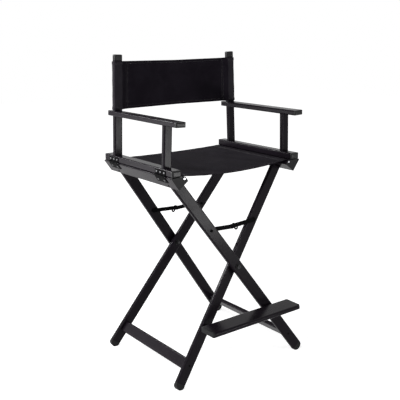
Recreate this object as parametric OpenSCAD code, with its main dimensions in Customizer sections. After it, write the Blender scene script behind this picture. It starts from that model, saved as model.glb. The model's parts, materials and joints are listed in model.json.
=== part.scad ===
// Tall folding makeup chair: a director's chair in black aluminium tube with a footrest.
// X runs from the sitter's right to left as seen from the front, Y runs backwards, Z up.
// The front of the chair faces -Y. All sizes are millimetres.

/* [Legs] */
// Angle of every leg to the floor with the chair open
leg_angle = 53.8; // [51:0.2:57]
// Distance between the left and the right foot centres
foot_spread = 549; // [500:1:600]
// Lean of the front and rear legs away from each other
splay = 5.5; // [4:0.1:7]
// Half the distance between the outer front and rear legs at the main pivot
outer_half = 200; // [180:1:220]
// Width of the leg tube
leg_w = 42.5; // [40:0.5:44]
// Thickness of the leg tube
leg_t = 16.5; // [15:0.5:18]
// Corner radius of the leg tube
leg_corner = 4.5; // [3.5:0.1:5.5]
// Wall of the leg tube
leg_wall = 1.6; // [1.2:0.1:2]
// Gap between an outer leg and the inner leg beside it
leg_gap = 9; // [9:0.1:11]
// Depth of the fine grooves along the narrow sides
groove_depth = 0.6; // [0.3:0.1:0.8]
// Width of a fine groove
groove_w = 1.2; // [0.8:0.1:1.6]
// Distance between the two grooves of one side
groove_pitch = 5; // [4:0.1:6]
// How much of the round foot is flat on the floor
foot_flat = 1; // [0.6:0.1:1.5]
// How far a foot plug reaches into its tube
foot_spigot = 30; // [15:1:45]

/* [Stretchers] */
// Height of the low stretchers' centre line
stretcher_z = 77; // [65:1:100]
// Length of the plug in each end of a stretcher
stretcher_plug = 30; // [24:1:40]

/* [Seat rails] */
// Height of the seat rails' top face
rail_top = 763.2; // [740:0.2:780]
// Height of the seat rail's inner side, along the legs
rail_inner = 19; // [17:0.5:22]
// Wall of the seat rail
rail_wall = 2.1; // [2:0.1:2.4]
// Gap between a leg and the rail's side wall beside it
rail_side_gap = 0.3; // [0.3:0.1:0.6]
// Length of the rails, from front to back
rail_len = 434; // [420:1:450]
// How far the rails' middle lies behind the legs' middle
rail_back = 6; // [0:1:12]
// Inner radius of the channel that holds the fabric's rod
channel_r = 4.3; // [4:0.1:4.8]
// Width of the slit that the fabric passes through
slit_w = 2.8; // [2.4:0.1:3.2]
// Radius of the fabric's rod
rod_r = 3.2; // [2.8:0.1:3.4]
// How far the rod ends lie inside the end plates' outer faces
rod_inset = 1.2; // [0.6:0.1:2.5]
// Thickness of the plastic plates that close the rails
rail_plate_t = 3; // [2:0.5:4]

/* [Arms] */
// How far the arm rail's outer face lies inside the seat rail's outer edge
arm_inset = 5; // [3:0.5:6.5]
// Lean of the posts towards the sitter
arm_lean = 2.1; // [0:0.1:3]
// Lean of the back posts backwards
back_tilt = 0.7; // [0:0.1:2]
// Width of the lower arm rail
arm_rail_w = 38; // [34:0.5:40]
// Height of the lower arm rail
arm_rail_h = 24; // [20:0.5:28]
// Width of the armrest
armrest_w = 41; // [38:0.5:45]
// Height of the armrest
armrest_h = 19; // [16:0.5:22]
// Height of the armrest's top face
armrest_top = 949; // [930:1:965]
// Length of the armrest
armrest_len = 428; // [410:1:440]
// How far the armrest's middle lies in front of the legs' middle
armrest_front = 14; // [8:1:20]
// Wall of the arm tubes
arm_wall = 1.8; // [1.4:0.1:2.2]
// Corner radius of the arm tubes
arm_corner = 5; // [4:0.1:6]
// Length of a plastic end cap on an arm tube
arm_cap_len = 7.5; // [6.5:0.5:10]
// Radius that an end cap is rounded with
cap_round = 6; // [4:0.5:6.5]
// Width of a post, across the chair
post_w = 34; // [31:0.5:36]
// Depth of a post, front to back
post_d = 16.5; // [15:0.5:18]
// Corner radius of a post
post_corner = 5; // [4:0.5:6]
// Distance of the back posts behind the legs' middle
back_post_y = 161; // [150:1:170]
// Distance of the front posts in front of the legs' middle
front_post_y = 150; // [140:1:160]
// Height of the whole chair, to the top of the back posts' caps
total_h = 1150; // [1120:1:1180]
// Height of a back post's cap
post_cap_h = 20; // [14:0.5:24]

/* [Hinges] */
// Radius of the hinge barrel
barrel_r = 3.2; // [3:0.1:3.6]
// Radius of the hinge pin
hinge_pin_r = 1.5; // [1.3:0.1:1.7]
// Length of a hinge
hinge_len = 60; // [50:1:70]
// Thickness of a hinge leaf
leaf_t = 1.8; // [1.5:0.1:2]
// Height of the leaf on the arm rail
upper_leaf_h = 19; // [17:0.5:20]
// Height of the leaf on the seat rail
lower_leaf_h = 27; // [24:0.5:30]
// Half the distance between the front and the rear hinge
hinge_half = 149; // [140:1:156]

/* [Pivots and braces] */
// Radius of a main pivot bolt
pivot_r = 4; // [3:0.5:5]
// Radius of the main pivot's washers
washer_r = 11; // [9:0.5:12]
// Distance from the main pivot up a leg to its brace bolt
brace_up = 187; // [180:1:195]
// How far the knuckle hangs below the brace bolts
knuckle_drop = 6; // [3:0.5:9]
// Height of a brace link
link_w = 16; // [14:0.5:18]
// Thickness of a brace link
link_t = 1.8; // [1.5:0.1:2]
// Clearance between a brace link and its leg
link_clear = 1.6; // [1.4:0.1:2]
// Lean of the braces, which follows the legs
brace_lean = 6.4; // [5.5:0.1:7]
// Radius of a brace bolt
brace_r = 2.5; // [2:0.1:3]
// Radius of the round lobes at the knuckle
lobe_r = 8.5; // [7.5:0.1:9.5]

/* [Footrest] */
// Height of the footrest's top face
footrest_top = 225; // [215:1:240]
// Thickness of the footrest board
board_t = 18; // [15:0.5:20]
// Depth of the footrest board
board_d = 80; // [70:1:90]
// Reach of the board to the left of the chair's middle
board_left = 197; // [180:1:210]
// Reach of the board to the right of the chair's middle
board_right = 222; // [205:1:235]
// Wall of the board extrusion
board_wall = 2; // [1.5:0.1:2.5]
// Height of the board's middle above its pivot
board_over_pivot = 28.5; // [28:0.1:30]
// Thickness of the pivot bracket
bracket_t = 3; // [2.5:0.1:3.5]
// Radius of the peg that the free end rests on
peg_r = 6; // [5:0.5:7]

/* [Fabric] */
// Distance from a back post's cap down to the backrest
back_below_cap = 4; // [2:0.5:12]
// Gap between the armrests and the backrest above them
back_over_arm = 5; // [3:0.5:12]
// Distance from a back post's middle to the backrest's seam beside it
seam_inset = 39; // [33:1:46]
// Thickness of the fabric round a back post
sleeve_t = 1.2; // [0.9:0.1:1.6]
// Thickness of the doubled back fabric
back_t = 2.4; // [1.6:0.1:3]
// Thickness of the seat fabric
seat_t = 1.2; // [1:0.1:1.6]
// How far the middle of the seat hangs below its edges
seat_sag = 12; // [8:1:18]
// How far the seat fabric ends inside the rails' ends
seat_inset = 9.5; // [8:0.5:16]

/* [Hidden] */
$fn = 64;
outer = -1; // frame whose legs lean up to the left
inner = 1; // frame whose legs lean up to the right
front = -1;
rear = 1;
seat_gap = 0.3; // gap between parts that lie against each other on different bodies
slide_fit = 0.3; // clearance of a plug in its tube and of a leg in its slot
bore_fit = 0.05; // radial clearance of a pin that turns
wall_gap = 0.1; // gap between a fixed piece and its seat
stop_gap = 0.3;
brace_play = 0.35;
eye_reach = 18;
eye_drop = 7;
eye_r = 3;
tab_start = 5;
tab_w = 8;
tab_rise = link_w / 2 + stop_gap;
tab_len = leg_gap - 2 * link_clear;
web_inset = 1;
rivet_head_r = 4.7;
rivet_head_h = 1.2;
brace_head_r = 2 * brace_r;
brace_head_h = 3;
brace_end_r = 4.2;
brace_end_h = 0.8;
collar_gap = 0.5; // between a brace bolt's collar and the link
bolt_head_r = 7;
bolt_head_h = 4.5;
slim_head_h = 3;
slim_nut_h = 4;
nut_hex_h = 5.5;
nut_h = 7.5;
nut_collar_r = 6;
bolt_end = 1.5; // what a bolt stands out of its nut
washer_t = 1; // a wedge washer at its thin side
small_screw_r = 1.9;
small_head_r = 3.6;
small_head_h = 1.6;
socket_share = 0.42; // a hexagon socket's radius in its head's radius
socket_floor = 0.55; // where the socket ends in its head's height
screw_reach = 9;
plug_reach = 16;
short_screw_reach = leaf_t + rail_wall + rail_side_gap / 2;
pivot_z = leg_w / 2 + foot_spread / 2 * tan(leg_angle);
leg_pitch = leg_t + leg_gap;
leg_lean = 90 - leg_angle;
foot_tilt = asin(sin(splay) * sin(leg_angle));
foot_z = leg_w / 2 * cos(foot_tilt) + leg_t / 2 * sin(foot_tilt) - foot_flat;
foot_reach = (pivot_z - foot_z) / (sin(leg_angle) * cos(splay));
footrest_bottom = footrest_top - board_t;
footrest_pivot_z = footrest_top - board_t / 2 - board_over_pivot;
footrest_pivot_l = (footrest_pivot_z - pivot_z) / (sin(leg_angle) * cos(splay));
board_gap = 3.5; // between the board's rear edge and the leg that it turns on
// Distances from the legs' middle to the chair's foremost and rearmost points
board_back_edge = outer_half - footrest_pivot_l * sin(splay) + leg_t / 2 * cos(splay) + board_gap;
reach_front = board_back_edge + board_d;
reach_rear = outer_half + (foot_reach + leg_w / 2) * sin(splay) + leg_t / 2 * cos(splay);
legs_y = (reach_front - reach_rear) / 2;
rails_y = legs_y + rail_back;
arms_y = legs_y - armrest_front;
seat_z = rail_top + seat_gap;
rail_w = leg_w + 2 * (rail_wall + rail_side_gap);
rail_half = rail_w / 2;
rail_corner_x = rail_point(rail_along(rail_top, rail_half), rail_half)[0];
arm_out = rail_corner_x - arm_inset;
arm_x = arm_out - arm_rail_w / 2;
post_base_z = seat_z + arm_rail_h;
armrest_up = (armrest_top - post_base_z) / cos(arm_lean) - armrest_h;
cap_rise = (post_w / 2 - cap_round) * sin(arm_lean); // what the leaning cap's outer corner adds
post_up = (total_h - cap_rise - post_base_z) / cos(arm_lean) / cos(back_tilt) - post_cap_h;
hinge_x = arm_out + barrel_r + seat_gap;
hinge_z = seat_z;
stretcher_l = (stretcher_z - pivot_z) / (sin(leg_angle) * cos(splay));
rail_low = rail_along(rail_top, -rail_half) - rail_inner;
channel_out = channel_r + rail_wall;
channel_q = channel_out - rail_half;
channel_z = rail_top - channel_out;
channel_x = rail_point(rail_along(channel_z, channel_q), channel_q)[0];
slit_x = channel_x + channel_r - slit_w / 2;
leg_top_l = rail_along(rail_top - rail_wall, rail_half) / cos(splay);
rod_len = rail_len - 2 * rod_inset;
peg_z = footrest_bottom - seat_gap - peg_r;
peg_l = (peg_z - pivot_z) / (sin(leg_angle) * cos(splay));
board_front_y = legs_y - reach_front;
board_rear_y = legs_y - board_back_edge;
peg_reach = 45; // how far the peg reaches under the board
board_corner = 7.2; // radius of the board's long edges
board_cap_t = 5;
board_cap_corner = 12; // radius of the board's four corners seen from above
board_plug = 8;
footrest_pivot_x = -cos(leg_angle) * footrest_pivot_l * cos(splay);
bracket_y = board_rear_y;
bracket_len = 52;
bracket_left = 36; // how far the bracket reaches to the left of its pivot
bracket_d = 30;
ear_r = 12;
bracket_screw_half = 16;
bracket_screws = [
    for (i = [-1, 1])
        [
            footrest_pivot_x - bracket_left + bracket_len / 2 + i * bracket_screw_half,
            bracket_y - bracket_d / 2
        ]
];
footrest_washer_r = 9;
rail_bolt_up = 9; // from the rail's lower edge up to its bolts
upper_screw_edge = 8.4; // from a leaf's end to its nearest screw
lower_screw_edge = 12;
leaf_screw_up = 10.8; // from the lower leaf's free edge up to its screws
upper_screw_places = [for (i = [-1, 0, 1]) i * (hinge_len / 2 - upper_screw_edge)];
lower_screw_places = [for (i = [-1, 1]) i * (hinge_len / 2 - lower_screw_edge)];
hinge_u = hinge_x * cos(leg_angle) + (hinge_z - pivot_z) * sin(leg_angle);
lower_screw_u = hinge_u - lower_leaf_h + leaf_screw_up;
pin_head_r = 2.4;
pin_head_h = 1.2;
neck_sink = 1.3; // how far the seat fabric's neck runs into its hem
knuckles = 5;
knuckle_gap = 0.3;
knuckle_len = (hinge_len - (knuckles - 1) * knuckle_gap) / knuckles;

// Position along the legs, from the main pivot, of a point at height z and q outwards of the leg's axis
function rail_along(z, q) = (z - pivot_z + q * cos(leg_angle)) / sin(leg_angle);
// Point of the right seat rail's section, u along the leg from the main pivot and q outwards
function rail_point(u, q) = [
    u * cos(leg_angle) + q * sin(leg_angle),
    pivot_z + u * sin(leg_angle) - q * cos(leg_angle)
];
// Distance from the main pivot up a leg to its brace bolt, so that both links hang at one height
function brace_at(side) = brace_up - side * (leg_t / 2 + link_clear) * tan(splay);
function leg_y(side, end) = legs_y + end * (side == outer ? outer_half : outer_half - leg_pitch);
// World position of a point in a leg's own frame
function leg_point(side, end, y, along) = [
    side * cos(leg_angle) * (end * y * sin(splay) + along * cos(splay)),
    leg_y(side, end) + y * cos(splay) - end * along * sin(splay),
    pivot_z + sin(leg_angle) * (end * y * sin(splay) + along * cos(splay))
];

// Moves its children into a leg's own frame: X across its width, Y through its thickness,
// Z up along it, with the origin at the main pivot.
module on_leg(side, end) {
    translate([0, leg_y(side, end), pivot_z])
        rotate([0, side * leg_lean, 0])
            rotate([end * splay, 0, 0])
                children();
}

module rounded_rect(w, h, r) {
    square([w - 2 * r, h], center = true);
    square([w, h - 2 * r], center = true);
    for (sx = [-1, 1], sy = [-1, 1])
        translate([sx * (w / 2 - r), sy * (h / 2 - r)]) circle(r = r);
}

module tube_profile(w, h, r, wall) {
    difference() {
        rounded_rect(w, h, r);
        rounded_rect(w - 2 * wall, h - 2 * wall, r - wall);
    }
}

module leg_bore() {
    rounded_rect(leg_w - 2 * leg_wall, leg_t - 2 * leg_wall, leg_corner - leg_wall);
}

// Tube section with two fine grooves along each narrow side.
module grooved_profile(w, h, r, wall) {
    difference() {
        tube_profile(w, h, r, wall);
        for (sx = [-1, 1], sy = [-1, 1])
            translate([sx * w / 2, sy * groove_pitch / 2])
                square([2 * groove_depth, groove_w], center = true);
    }
}

module leg_profile() {
    grooved_profile(leg_w, leg_t, leg_corner, leg_wall);
}

// Extrudes a profile drawn in X and Z from y0 to y1.
module along_y(y0, y1) {
    translate([0, y1, 0]) rotate([90, 0, 0]) linear_extrude(y1 - y0) children();
}

// Cylinder along Y around the middle of its length.
module y_rod(r, h) {
    rotate([90, 0, 0]) cylinder(r = r, h = h, center = true);
}

module right_or_left(side) {
    if (side == inner) children();
    else mirror([1, 0, 0]) children();
}

// Button-head screw along +Z: its head starts at z = 0, its shank runs down.
module screw(shank_r, head_r, head_h, reach) {
    translate([0, 0, -reach]) cylinder(r = shank_r, h = reach);
    difference() {
        intersection() {
            cylinder(r = head_r, h = head_h);
            translate([0, 0, head_h - 2 * head_r]) sphere(r = 2 * head_r);
        }
        translate([0, 0, head_h * socket_floor]) cylinder(r = head_r * socket_share, h = head_h, $fn = 6);
    }
}

// Everything below the floor, to cut the feet flat.
module below_floor() {
    translate([-foot_spread, -foot_spread, -foot_spread])
        cube([2 * foot_spread, 2 * foot_spread, foot_spread]);
}

// The space inside the seat rail that a leg's top must leave free: the fabric's channel
// and what lies above the rail's inner roof.
module leg_top_cut(side) {
    translate([-foot_spread, -foot_spread, rail_top - rail_wall - slide_fit])
        cube([2 * foot_spread, 2 * foot_spread, foot_spread]);
    right_or_left(side)
        along_y(-foot_spread, foot_spread)
            polygon([
                rail_point(rail_along(channel_z, channel_q) - channel_out - slide_fit, -leg_w),
                rail_point(rail_along(channel_z, channel_q) - channel_out - slide_fit,
                    channel_q + channel_out + slide_fit),
                rail_point(rail_along(channel_z, channel_q) + leg_w,
                    channel_q + channel_out + slide_fit),
                rail_point(rail_along(channel_z, channel_q) + leg_w, -leg_w)
            ]);
}

module leg(side, end) {
    difference() {
        on_leg(side, end)
            translate([0, 0, -foot_reach])
                linear_extrude(foot_reach + leg_top_l) leg_profile();
        leg_top_cut(side);
        translate([0, leg_y(side, end), pivot_z]) y_rod(pivot_r + bore_fit, 2 * leg_t);
        on_leg(side, end) {
            translate([0, 0, brace_at(side)]) y_rod(brace_r + wall_gap, 2 * leg_t);
            translate([0, end * leg_t / 2, stretcher_l])
                y_rod(small_screw_r + wall_gap, 3 * leg_t);
        }
        rail_bolt_at(side, end) rail_bolt_hole();
        if (end == front && side == outer) footrest_pivot_at() y_rod(pivot_r + bore_fit, 3 * leg_t);
        if (end == front && side == inner) peg_at() y_rod(peg_r / 2 + wall_gap, 3 * leg_t);
    }
}

module front_leg_outer() {
    color("#232124") leg(outer, front);
}

module rear_leg_outer() {
    color("#232124") leg(outer, rear);
}

module front_leg_inner() {
    color("#1f1d20") leg(inner, front);
}

module rear_leg_inner() {
    color("#1f1d20") leg(inner, rear);
}

// Round plastic foot with a plug inside the tube, cut flat where it stands.
module foot_cap(side, end) {
    difference() {
        on_leg(side, end) translate([0, 0, -foot_reach]) {
            intersection() {
                y_rod(leg_w / 2, leg_t);
                translate([0, 0, -leg_w]) linear_extrude(leg_w) rounded_rect(leg_w, leg_t, leg_corner);
            }
            linear_extrude(foot_spigot)
                rounded_rect(leg_w - 2 * (leg_wall + wall_gap), leg_t - 2 * (leg_wall + wall_gap),
                    leg_corner - leg_wall);
        }
        below_floor();
    }
}

module foot_caps_outer() {
    color("#1b1b1b") for (end = [front, rear]) foot_cap(outer, end);
}

module foot_caps_inner() {
    color("#1b1b1b") for (end = [front, rear]) foot_cap(inner, end);
}

// Low stretcher between the front and rear leg of one frame, cut to their lean, with a plug
// in each end for its screw.
module stretcher(side) {
    middle = stretcher_l * cos(splay);
    half_len = outer_half + foot_reach * sin(splay);
    difference() {
        translate([side * middle * cos(leg_angle), legs_y, pivot_z + middle * sin(leg_angle)])
            rotate([0, side * leg_lean, 0]) {
                rotate([90, 0, 0])
                    linear_extrude(2 * half_len, center = true) rotate(90) leg_profile();
                for (end = [front, rear])
                    translate([0, end * (half_len - stretcher_plug), 0])
                        rotate([90, 0, 0])
                            linear_extrude(2 * stretcher_plug, center = true)
                                rotate(90) leg_bore();
            }
        for (end = [front, rear])
            on_leg(side, end) {
                translate([-leg_w, end == rear ? -leg_t / 2 : leg_t / 2 - half_len, -foot_reach - leg_w])
                    cube([2 * leg_w, half_len, foot_reach + leg_w]);
                translate([0, 0, stretcher_l]) y_rod(small_screw_r + wall_gap, 4 * stretcher_plug);
            }
    }
}

module stretcher_right() {
    color("#2b292c") stretcher(outer);
}

module stretcher_left() {
    color("#2b292c") stretcher(inner);
}

// Screws from the outside of the legs into the stretchers' ends.
module stretcher_screws(side) {
    for (end = [front, rear])
        on_leg(side, end)
            translate([0, end * leg_t / 2, stretcher_l])
                rotate([-end * 90, 0, 0])
                    screw(small_screw_r, small_head_r, small_head_h, leg_t + screw_reach);
}

module stretcher_screws_right() {
    color("#3a3a3c") stretcher_screws(outer);
}

module stretcher_screws_left() {
    color("#3a3a3c") stretcher_screws(inner);
}

function rail_outline(inset) = [
    rail_point(rail_low + inset, inset - rail_half),
    rail_point(rail_low + inset, rail_half - inset),
    rail_point(rail_along(rail_top - inset, rail_half - inset), rail_half - inset),
    rail_point(rail_along(rail_top - inset, inset - rail_half), inset - rail_half)
];

module rail_profile() {
    difference() {
        union() {
            difference() {
                polygon(rail_outline(0));
                polygon(rail_outline(rail_wall));
            }
            translate([channel_x, channel_z]) circle(r = channel_out);
        }
        translate([channel_x, channel_z]) circle(r = channel_r);
        translate([slit_x - slit_w / 2, channel_z]) square([slit_w, 2 * channel_out]);
        translate([hinge_x, hinge_z]) circle(r = barrel_r + seat_gap);
    }
}

module seat_rail(side) {
    difference() {
        right_or_left(side)
            along_y(rails_y - rail_len / 2 + rail_plate_t, rails_y + rail_len / 2 - rail_plate_t)
                rail_profile();
        for (end = [front, rear]) {
            on_leg(side, end)
                translate([0, 0, rail_low / cos(splay) - rail_wall])
                    linear_extrude(3 * rail_wall)
                        rounded_rect(leg_w + 2 * slide_fit, leg_t + 2 * slide_fit,
                            leg_corner + slide_fit);
            rail_bolt_at(side, end) rail_bolt_hole();
        }
        for (end = [front, rear]) lower_screws_at(side, end) screw_hole();
    }
}

module seat_rail_left() {
    color("#262428") seat_rail(outer);
}

module seat_rail_right() {
    color("#262428") seat_rail(inner);
}

// Plastic plate on each end of a seat rail, with a lip inside the section and a hole for the rod.
module rail_plates(side) {
    right_or_left(side)
        for (end = [front, rear]) {
            y_out = rails_y + end * rail_len / 2;
            y_in = y_out - end * rail_plate_t;
            difference() {
                along_y(min(y_out, y_in), max(y_out, y_in)) polygon(rail_outline(0));
                translate([hinge_x, y_in, hinge_z]) y_rod(barrel_r + seat_gap, 4 * rail_plate_t);
                translate([channel_x, y_in, channel_z]) y_rod(channel_r, 4 * rail_plate_t);
            }
            difference() {
                along_y(min(y_in, y_in - end * 2 * rail_plate_t), max(y_in, y_in - end * 2 * rail_plate_t))
                    polygon(rail_outline(rail_wall + slide_fit));
                translate([channel_x, y_in, channel_z]) y_rod(channel_out + slide_fit, 8 * rail_plate_t);
                translate([hinge_x, y_in, hinge_z]) y_rod(barrel_r + 2 * rail_wall, 8 * rail_plate_t);
            }
        }
}

module rail_plates_left() {
    color("#1b191c") rail_plates(outer);
}

module rail_plates_right() {
    color("#1b191c") rail_plates(inner);
}

// Places its children on the outer side of a seat rail, at a leg, with Z outwards.
module rail_bolt_at(side, end) {
    along = rail_low + rail_bolt_up;
    p = leg_point(side, end, 0, along / cos(splay));
    place = rail_point(along, rail_half);
    translate([side * place[0], p[1], place[1]]) rotate([0, side * (90 + leg_lean), 0]) children();
}

module rail_bolt_hole() {
    translate([0, 0, -screw_reach]) cylinder(r = small_screw_r + wall_gap, h = 2 * screw_reach);
}

module rail_bolts(side) {
    for (end = [front, rear])
        rail_bolt_at(side, end) screw(small_screw_r, small_head_r, small_head_h, screw_reach);
}

module rail_bolts_left() {
    color("#3a3a3c") rail_bolts(outer);
}

module rail_bolts_right() {
    color("#3a3a3c") rail_bolts(inner);
}

module seat_rod(side) {
    right_or_left(side) translate([channel_x, rails_y, channel_z]) y_rod(rod_r, rod_len);
}

module seat_rod_left() {
    color("#8a8a8a") seat_rod(outer);
}

module seat_rod_right() {
    color("#8a8a8a") seat_rod(inner);
}

// Bolt along Y through an outer and an inner leg, its head outside.
module pivot_bolt(end) {
    y_out = outer_half + leg_t / 2 / cos(splay) + washer_rise() + seat_gap;
    y_in = outer_half - leg_pitch - leg_t / 2 / cos(splay) - washer_rise() - nut_h - bolt_end;
    translate([0, legs_y + end * y_out, pivot_z])
        rotate([-end * 90, 0, 0]) {
            difference() {
                cylinder(r = bolt_head_r, h = bolt_head_h);
                translate([0, 0, bolt_head_h / 2]) cylinder(r = bolt_head_r / 2, h = bolt_head_h, $fn = 6);
            }
            translate([0, 0, y_in - y_out]) cylinder(r = pivot_r, h = y_out - y_in);
        }
}

// How far a washer's outer face stands off the leaning leg, so that its whole rim clears it.
function washer_rise() = washer_t + washer_r * tan(splay);

module pivot_bolts() {
    color("#8d8d90") for (end = [front, rear]) pivot_bolt(end);
}

module pivot_nuts() {
    y_at = outer_half - leg_pitch - leg_t / 2 / cos(splay) - washer_rise() - wall_gap;
    color("#6d6d70")
        for (end = [front, rear])
            translate([0, legs_y + end * y_at, pivot_z])
                rotate([end * 90, 0, 0])
                    difference() {
                        union() {
                            cylinder(r = bolt_head_r, h = nut_hex_h, $fn = 6);
                            cylinder(r = nut_collar_r, h = nut_h);
                        }
                        translate([0, 0, -nut_h]) cylinder(r = pivot_r + bore_fit, h = 3 * nut_h);
                    }
}

// Wedge washers that square the leaning leg to the bolt: one outside and one in the gap.
module pivot_washers(side) {
    for (end = [front, rear]) {
        middle = legs_y + end * (outer_half - leg_pitch / 2);
        y_leg = leg_y(side, end);
        away = side == outer ? 1 : -1;
        y_face = y_leg + end * away * (leg_t / 2 / cos(splay) + washer_rise());
        y_gap = middle + end * away * seat_gap / 2;
        difference() {
            for (y_end = [y_face, y_gap])
                translate([0, (y_leg + y_end) / 2, pivot_z])
                    y_rod(washer_r, abs(y_end - y_leg));
            translate([0, y_leg, pivot_z]) y_rod(pivot_r + bore_fit, 4 * leg_pitch);
            on_leg(side, end) cube([2 * leg_w, leg_t + 2 * wall_gap, 2 * leg_w], center = true);
        }
    }
}

module pivot_washers_outer() {
    color("#1b1b1b") pivot_washers(outer);
}

module pivot_washers_inner() {
    color("#1b1b1b") pivot_washers(inner);
}

// Shoulder bolt that holds a brace link to its leg: head outside, collar and rivet end in the gap.
module brace_bolt(side, end) {
    into_gap = side * end;
    link_far = leg_t / 2 + link_clear + link_t;
    head_at = -leg_t / 2 - wall_gap - brace_head_h;
    end_at = link_far + brace_play;
    on_leg(side, end)
        translate([0, 0, brace_at(side)])
            rotate([into_gap * -90, 0, 0]) {
                translate([0, 0, head_at]) {
                    difference() {
                        cylinder(r = brace_head_r, h = brace_head_h);
                        translate([0, 0, -brace_head_h / 2]) cylinder(r = brace_r, h = brace_head_h, $fn = 6);
                    }
                    cylinder(r = brace_r, h = end_at + brace_end_h - head_at);
                }
                translate([0, 0, leg_t / 2 + wall_gap])
                    cylinder(r = brace_head_r, h = link_clear - collar_gap);
                translate([0, 0, end_at]) cylinder(r = brace_end_r, h = brace_end_h);
            }
}

module brace_bolts_outer() {
    color("#77777a") for (end = [front, rear]) brace_bolt(outer, end);
}

module brace_bolts_inner() {
    color("#77777a") for (end = [front, rear]) brace_bolt(inner, end);
}

// Where a link hangs on its bolt, at the face turned to its own leg.
function link_at(side, end) = leg_point(side, end, side * end * (leg_t / 2 + link_clear), brace_at(side));
// How far below its bolt a link reaches the knuckle line, which both links of a brace share.
function link_drop(side, end) =
    knuckle_drop - (link_at(side, end)[1] - link_at(-side, end)[1]) / 2 * sin(end * brace_lean);

// One link of a folding lock brace, from its leg bolt at the origin to the knuckle, in X and Z.
// The tailed link runs past the knuckle to a finger eye, with an upstand for its stop tab.
module link_outline(reach, drop, tail) {
    difference() {
        union() {
            circle(r = lobe_r);
            rotate(-atan2(drop, reach))
                translate([0, -link_w / 2]) square([norm([reach, drop]), link_w]);
            translate([reach, -drop]) {
                circle(r = lobe_r);
                if (tail) {
                    translate([eye_reach, -eye_drop]) circle(r = lobe_r);
                    translate([0, web_inset - lobe_r]) square([eye_reach, lobe_r + eye_drop]);
                    rotate(atan2(drop, reach)) translate([tab_start, 0]) square([tab_w, tab_rise + link_t]);
                }
            }
        }
        circle(r = brace_r + brace_play);
        if (tail) translate([reach + eye_reach, -drop - eye_drop]) circle(r = eye_r);
    }
}

// Link in place: its outer face is turned to its own leg, and half of the knuckle rivet is on it.
module brace_link(side, end, tail) {
    into_gap = side * end;
    p = link_at(side, end);
    reach = abs(p[0]);
    drop = link_drop(side, end);
    between = leg_gap - 2 * (link_clear + link_t);
    half_rivet = link_t + between / 2 - seat_gap;
    translate(p)
        rotate([end * brace_lean, 0, 0])
            right_or_left(-side) {
                along_y(min(0, into_gap * link_t), max(0, into_gap * link_t)) link_outline(reach, drop, tail);
                translate([reach, 0, -drop]) {
                    translate([0, into_gap * half_rivet / 2, 0]) y_rod(brace_r, half_rivet);
                    translate([0, -into_gap * rivet_head_h / 2, 0]) y_rod(rivet_head_r, rivet_head_h);
                    if (tail)
                        rotate([0, -atan2(drop, reach), 0])
                            translate([tab_start, into_gap > 0 ? 0 : -tab_len, tab_rise])
                                cube([tab_w, tab_len, link_t]);
                }
            }
}

module brace_link_front_outer() {
    color("#151316") brace_link(outer, front, true);
}

module brace_link_front_inner() {
    color("#151316") brace_link(inner, front, false);
}

module brace_link_rear_outer() {
    color("#151316") brace_link(outer, rear, false);
}

module brace_link_rear_inner() {
    color("#151316") brace_link(inner, rear, true);
}

// Section of the footrest in Y and Z: a flat hollow extrusion with round long edges and two ribs.
module board_profile() {
    difference() {
        rounded_rect(board_d, board_t, board_corner);
        for (i = [-1, 0, 1])
            translate([i * (board_d - board_wall) / 3, 0])
                rounded_rect((board_d - board_wall) / 3 - board_wall, board_t - 2 * board_wall, board_wall);
    }
}

module footrest_cap_shape(x0, x1) {
    translate([x0, (board_front_y + board_rear_y) / 2, footrest_top - board_t / 2])
        rotate([90, 0, 90]) linear_extrude(x1 - x0) children();
}

module footrest_board() {
    color("#3a383b")
        difference() {
            footrest_cap_shape(-board_left + board_cap_t, board_right - board_cap_t) board_profile();
            for (p = bracket_screws)
                translate([p[0], p[1], footrest_bottom - board_wall])
                    cylinder(r = small_screw_r + wall_gap, h = 3 * board_wall);
        }
}

// Plastic caps with rounded corners that close the board's ends.
module footrest_caps() {
    color("#1b191c")
        for (side = [-1, 1]) {
            x_out = side < 0 ? -board_left : board_right;
            x_in = x_out - side * board_cap_t;
            intersection() {
                footrest_cap_shape(min(x_out, x_in), max(x_out, x_in))
                    rounded_rect(board_d, board_t, board_corner);
                translate([x_out - side * board_d / 2, (board_front_y + board_rear_y) / 2, 0])
                    linear_extrude(footrest_top + board_t) rounded_rect(board_d, board_d, board_cap_corner);
            }
            footrest_cap_shape(min(x_in, x_in - side * board_plug), max(x_in, x_in - side * board_plug))
                for (i = [-1, 0, 1])
                    translate([i * (board_d - board_wall) / 3, 0])
                        rounded_rect((board_d - board_wall) / 3 - board_wall - 2 * wall_gap,
                            board_t - 2 * board_wall - 2 * wall_gap, board_wall - wall_gap);
        }
}

// Places its children at the footrest's pivot, at the middle of the outer front leg.
module footrest_pivot_at() {
    p = leg_point(outer, front, 0, footrest_pivot_l);
    translate([footrest_pivot_x, p[1], footrest_pivot_z]) children();
}

// Angle bracket under the board with the ear that turns on the leg.
module footrest_bracket() {
    drop = board_over_pivot - board_t / 2;
    color("#1b191c")
        difference() {
            union() {
                translate([
                    footrest_pivot_x - bracket_left,
                    bracket_y - bracket_d,
                    footrest_bottom - bracket_t
                ])
                    cube([bracket_len, bracket_d, bracket_t]);
                translate([0, bracket_y - bracket_t / 2, 0]) {
                    translate([footrest_pivot_x, 0, footrest_pivot_z]) y_rod(ear_r, bracket_t);
                    translate([footrest_pivot_x - ear_r, -bracket_t / 2, footrest_pivot_z])
                        cube([2 * ear_r, bracket_t, drop]);
                }
            }
            translate([footrest_pivot_x, bracket_y, footrest_pivot_z])
                y_rod(pivot_r + bore_fit, 4 * bracket_t);
            for (p = bracket_screws)
                translate([p[0], p[1], footrest_bottom - 2 * bracket_t])
                    cylinder(r = small_screw_r + wall_gap, h = 3 * bracket_t);
        }
}

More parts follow.
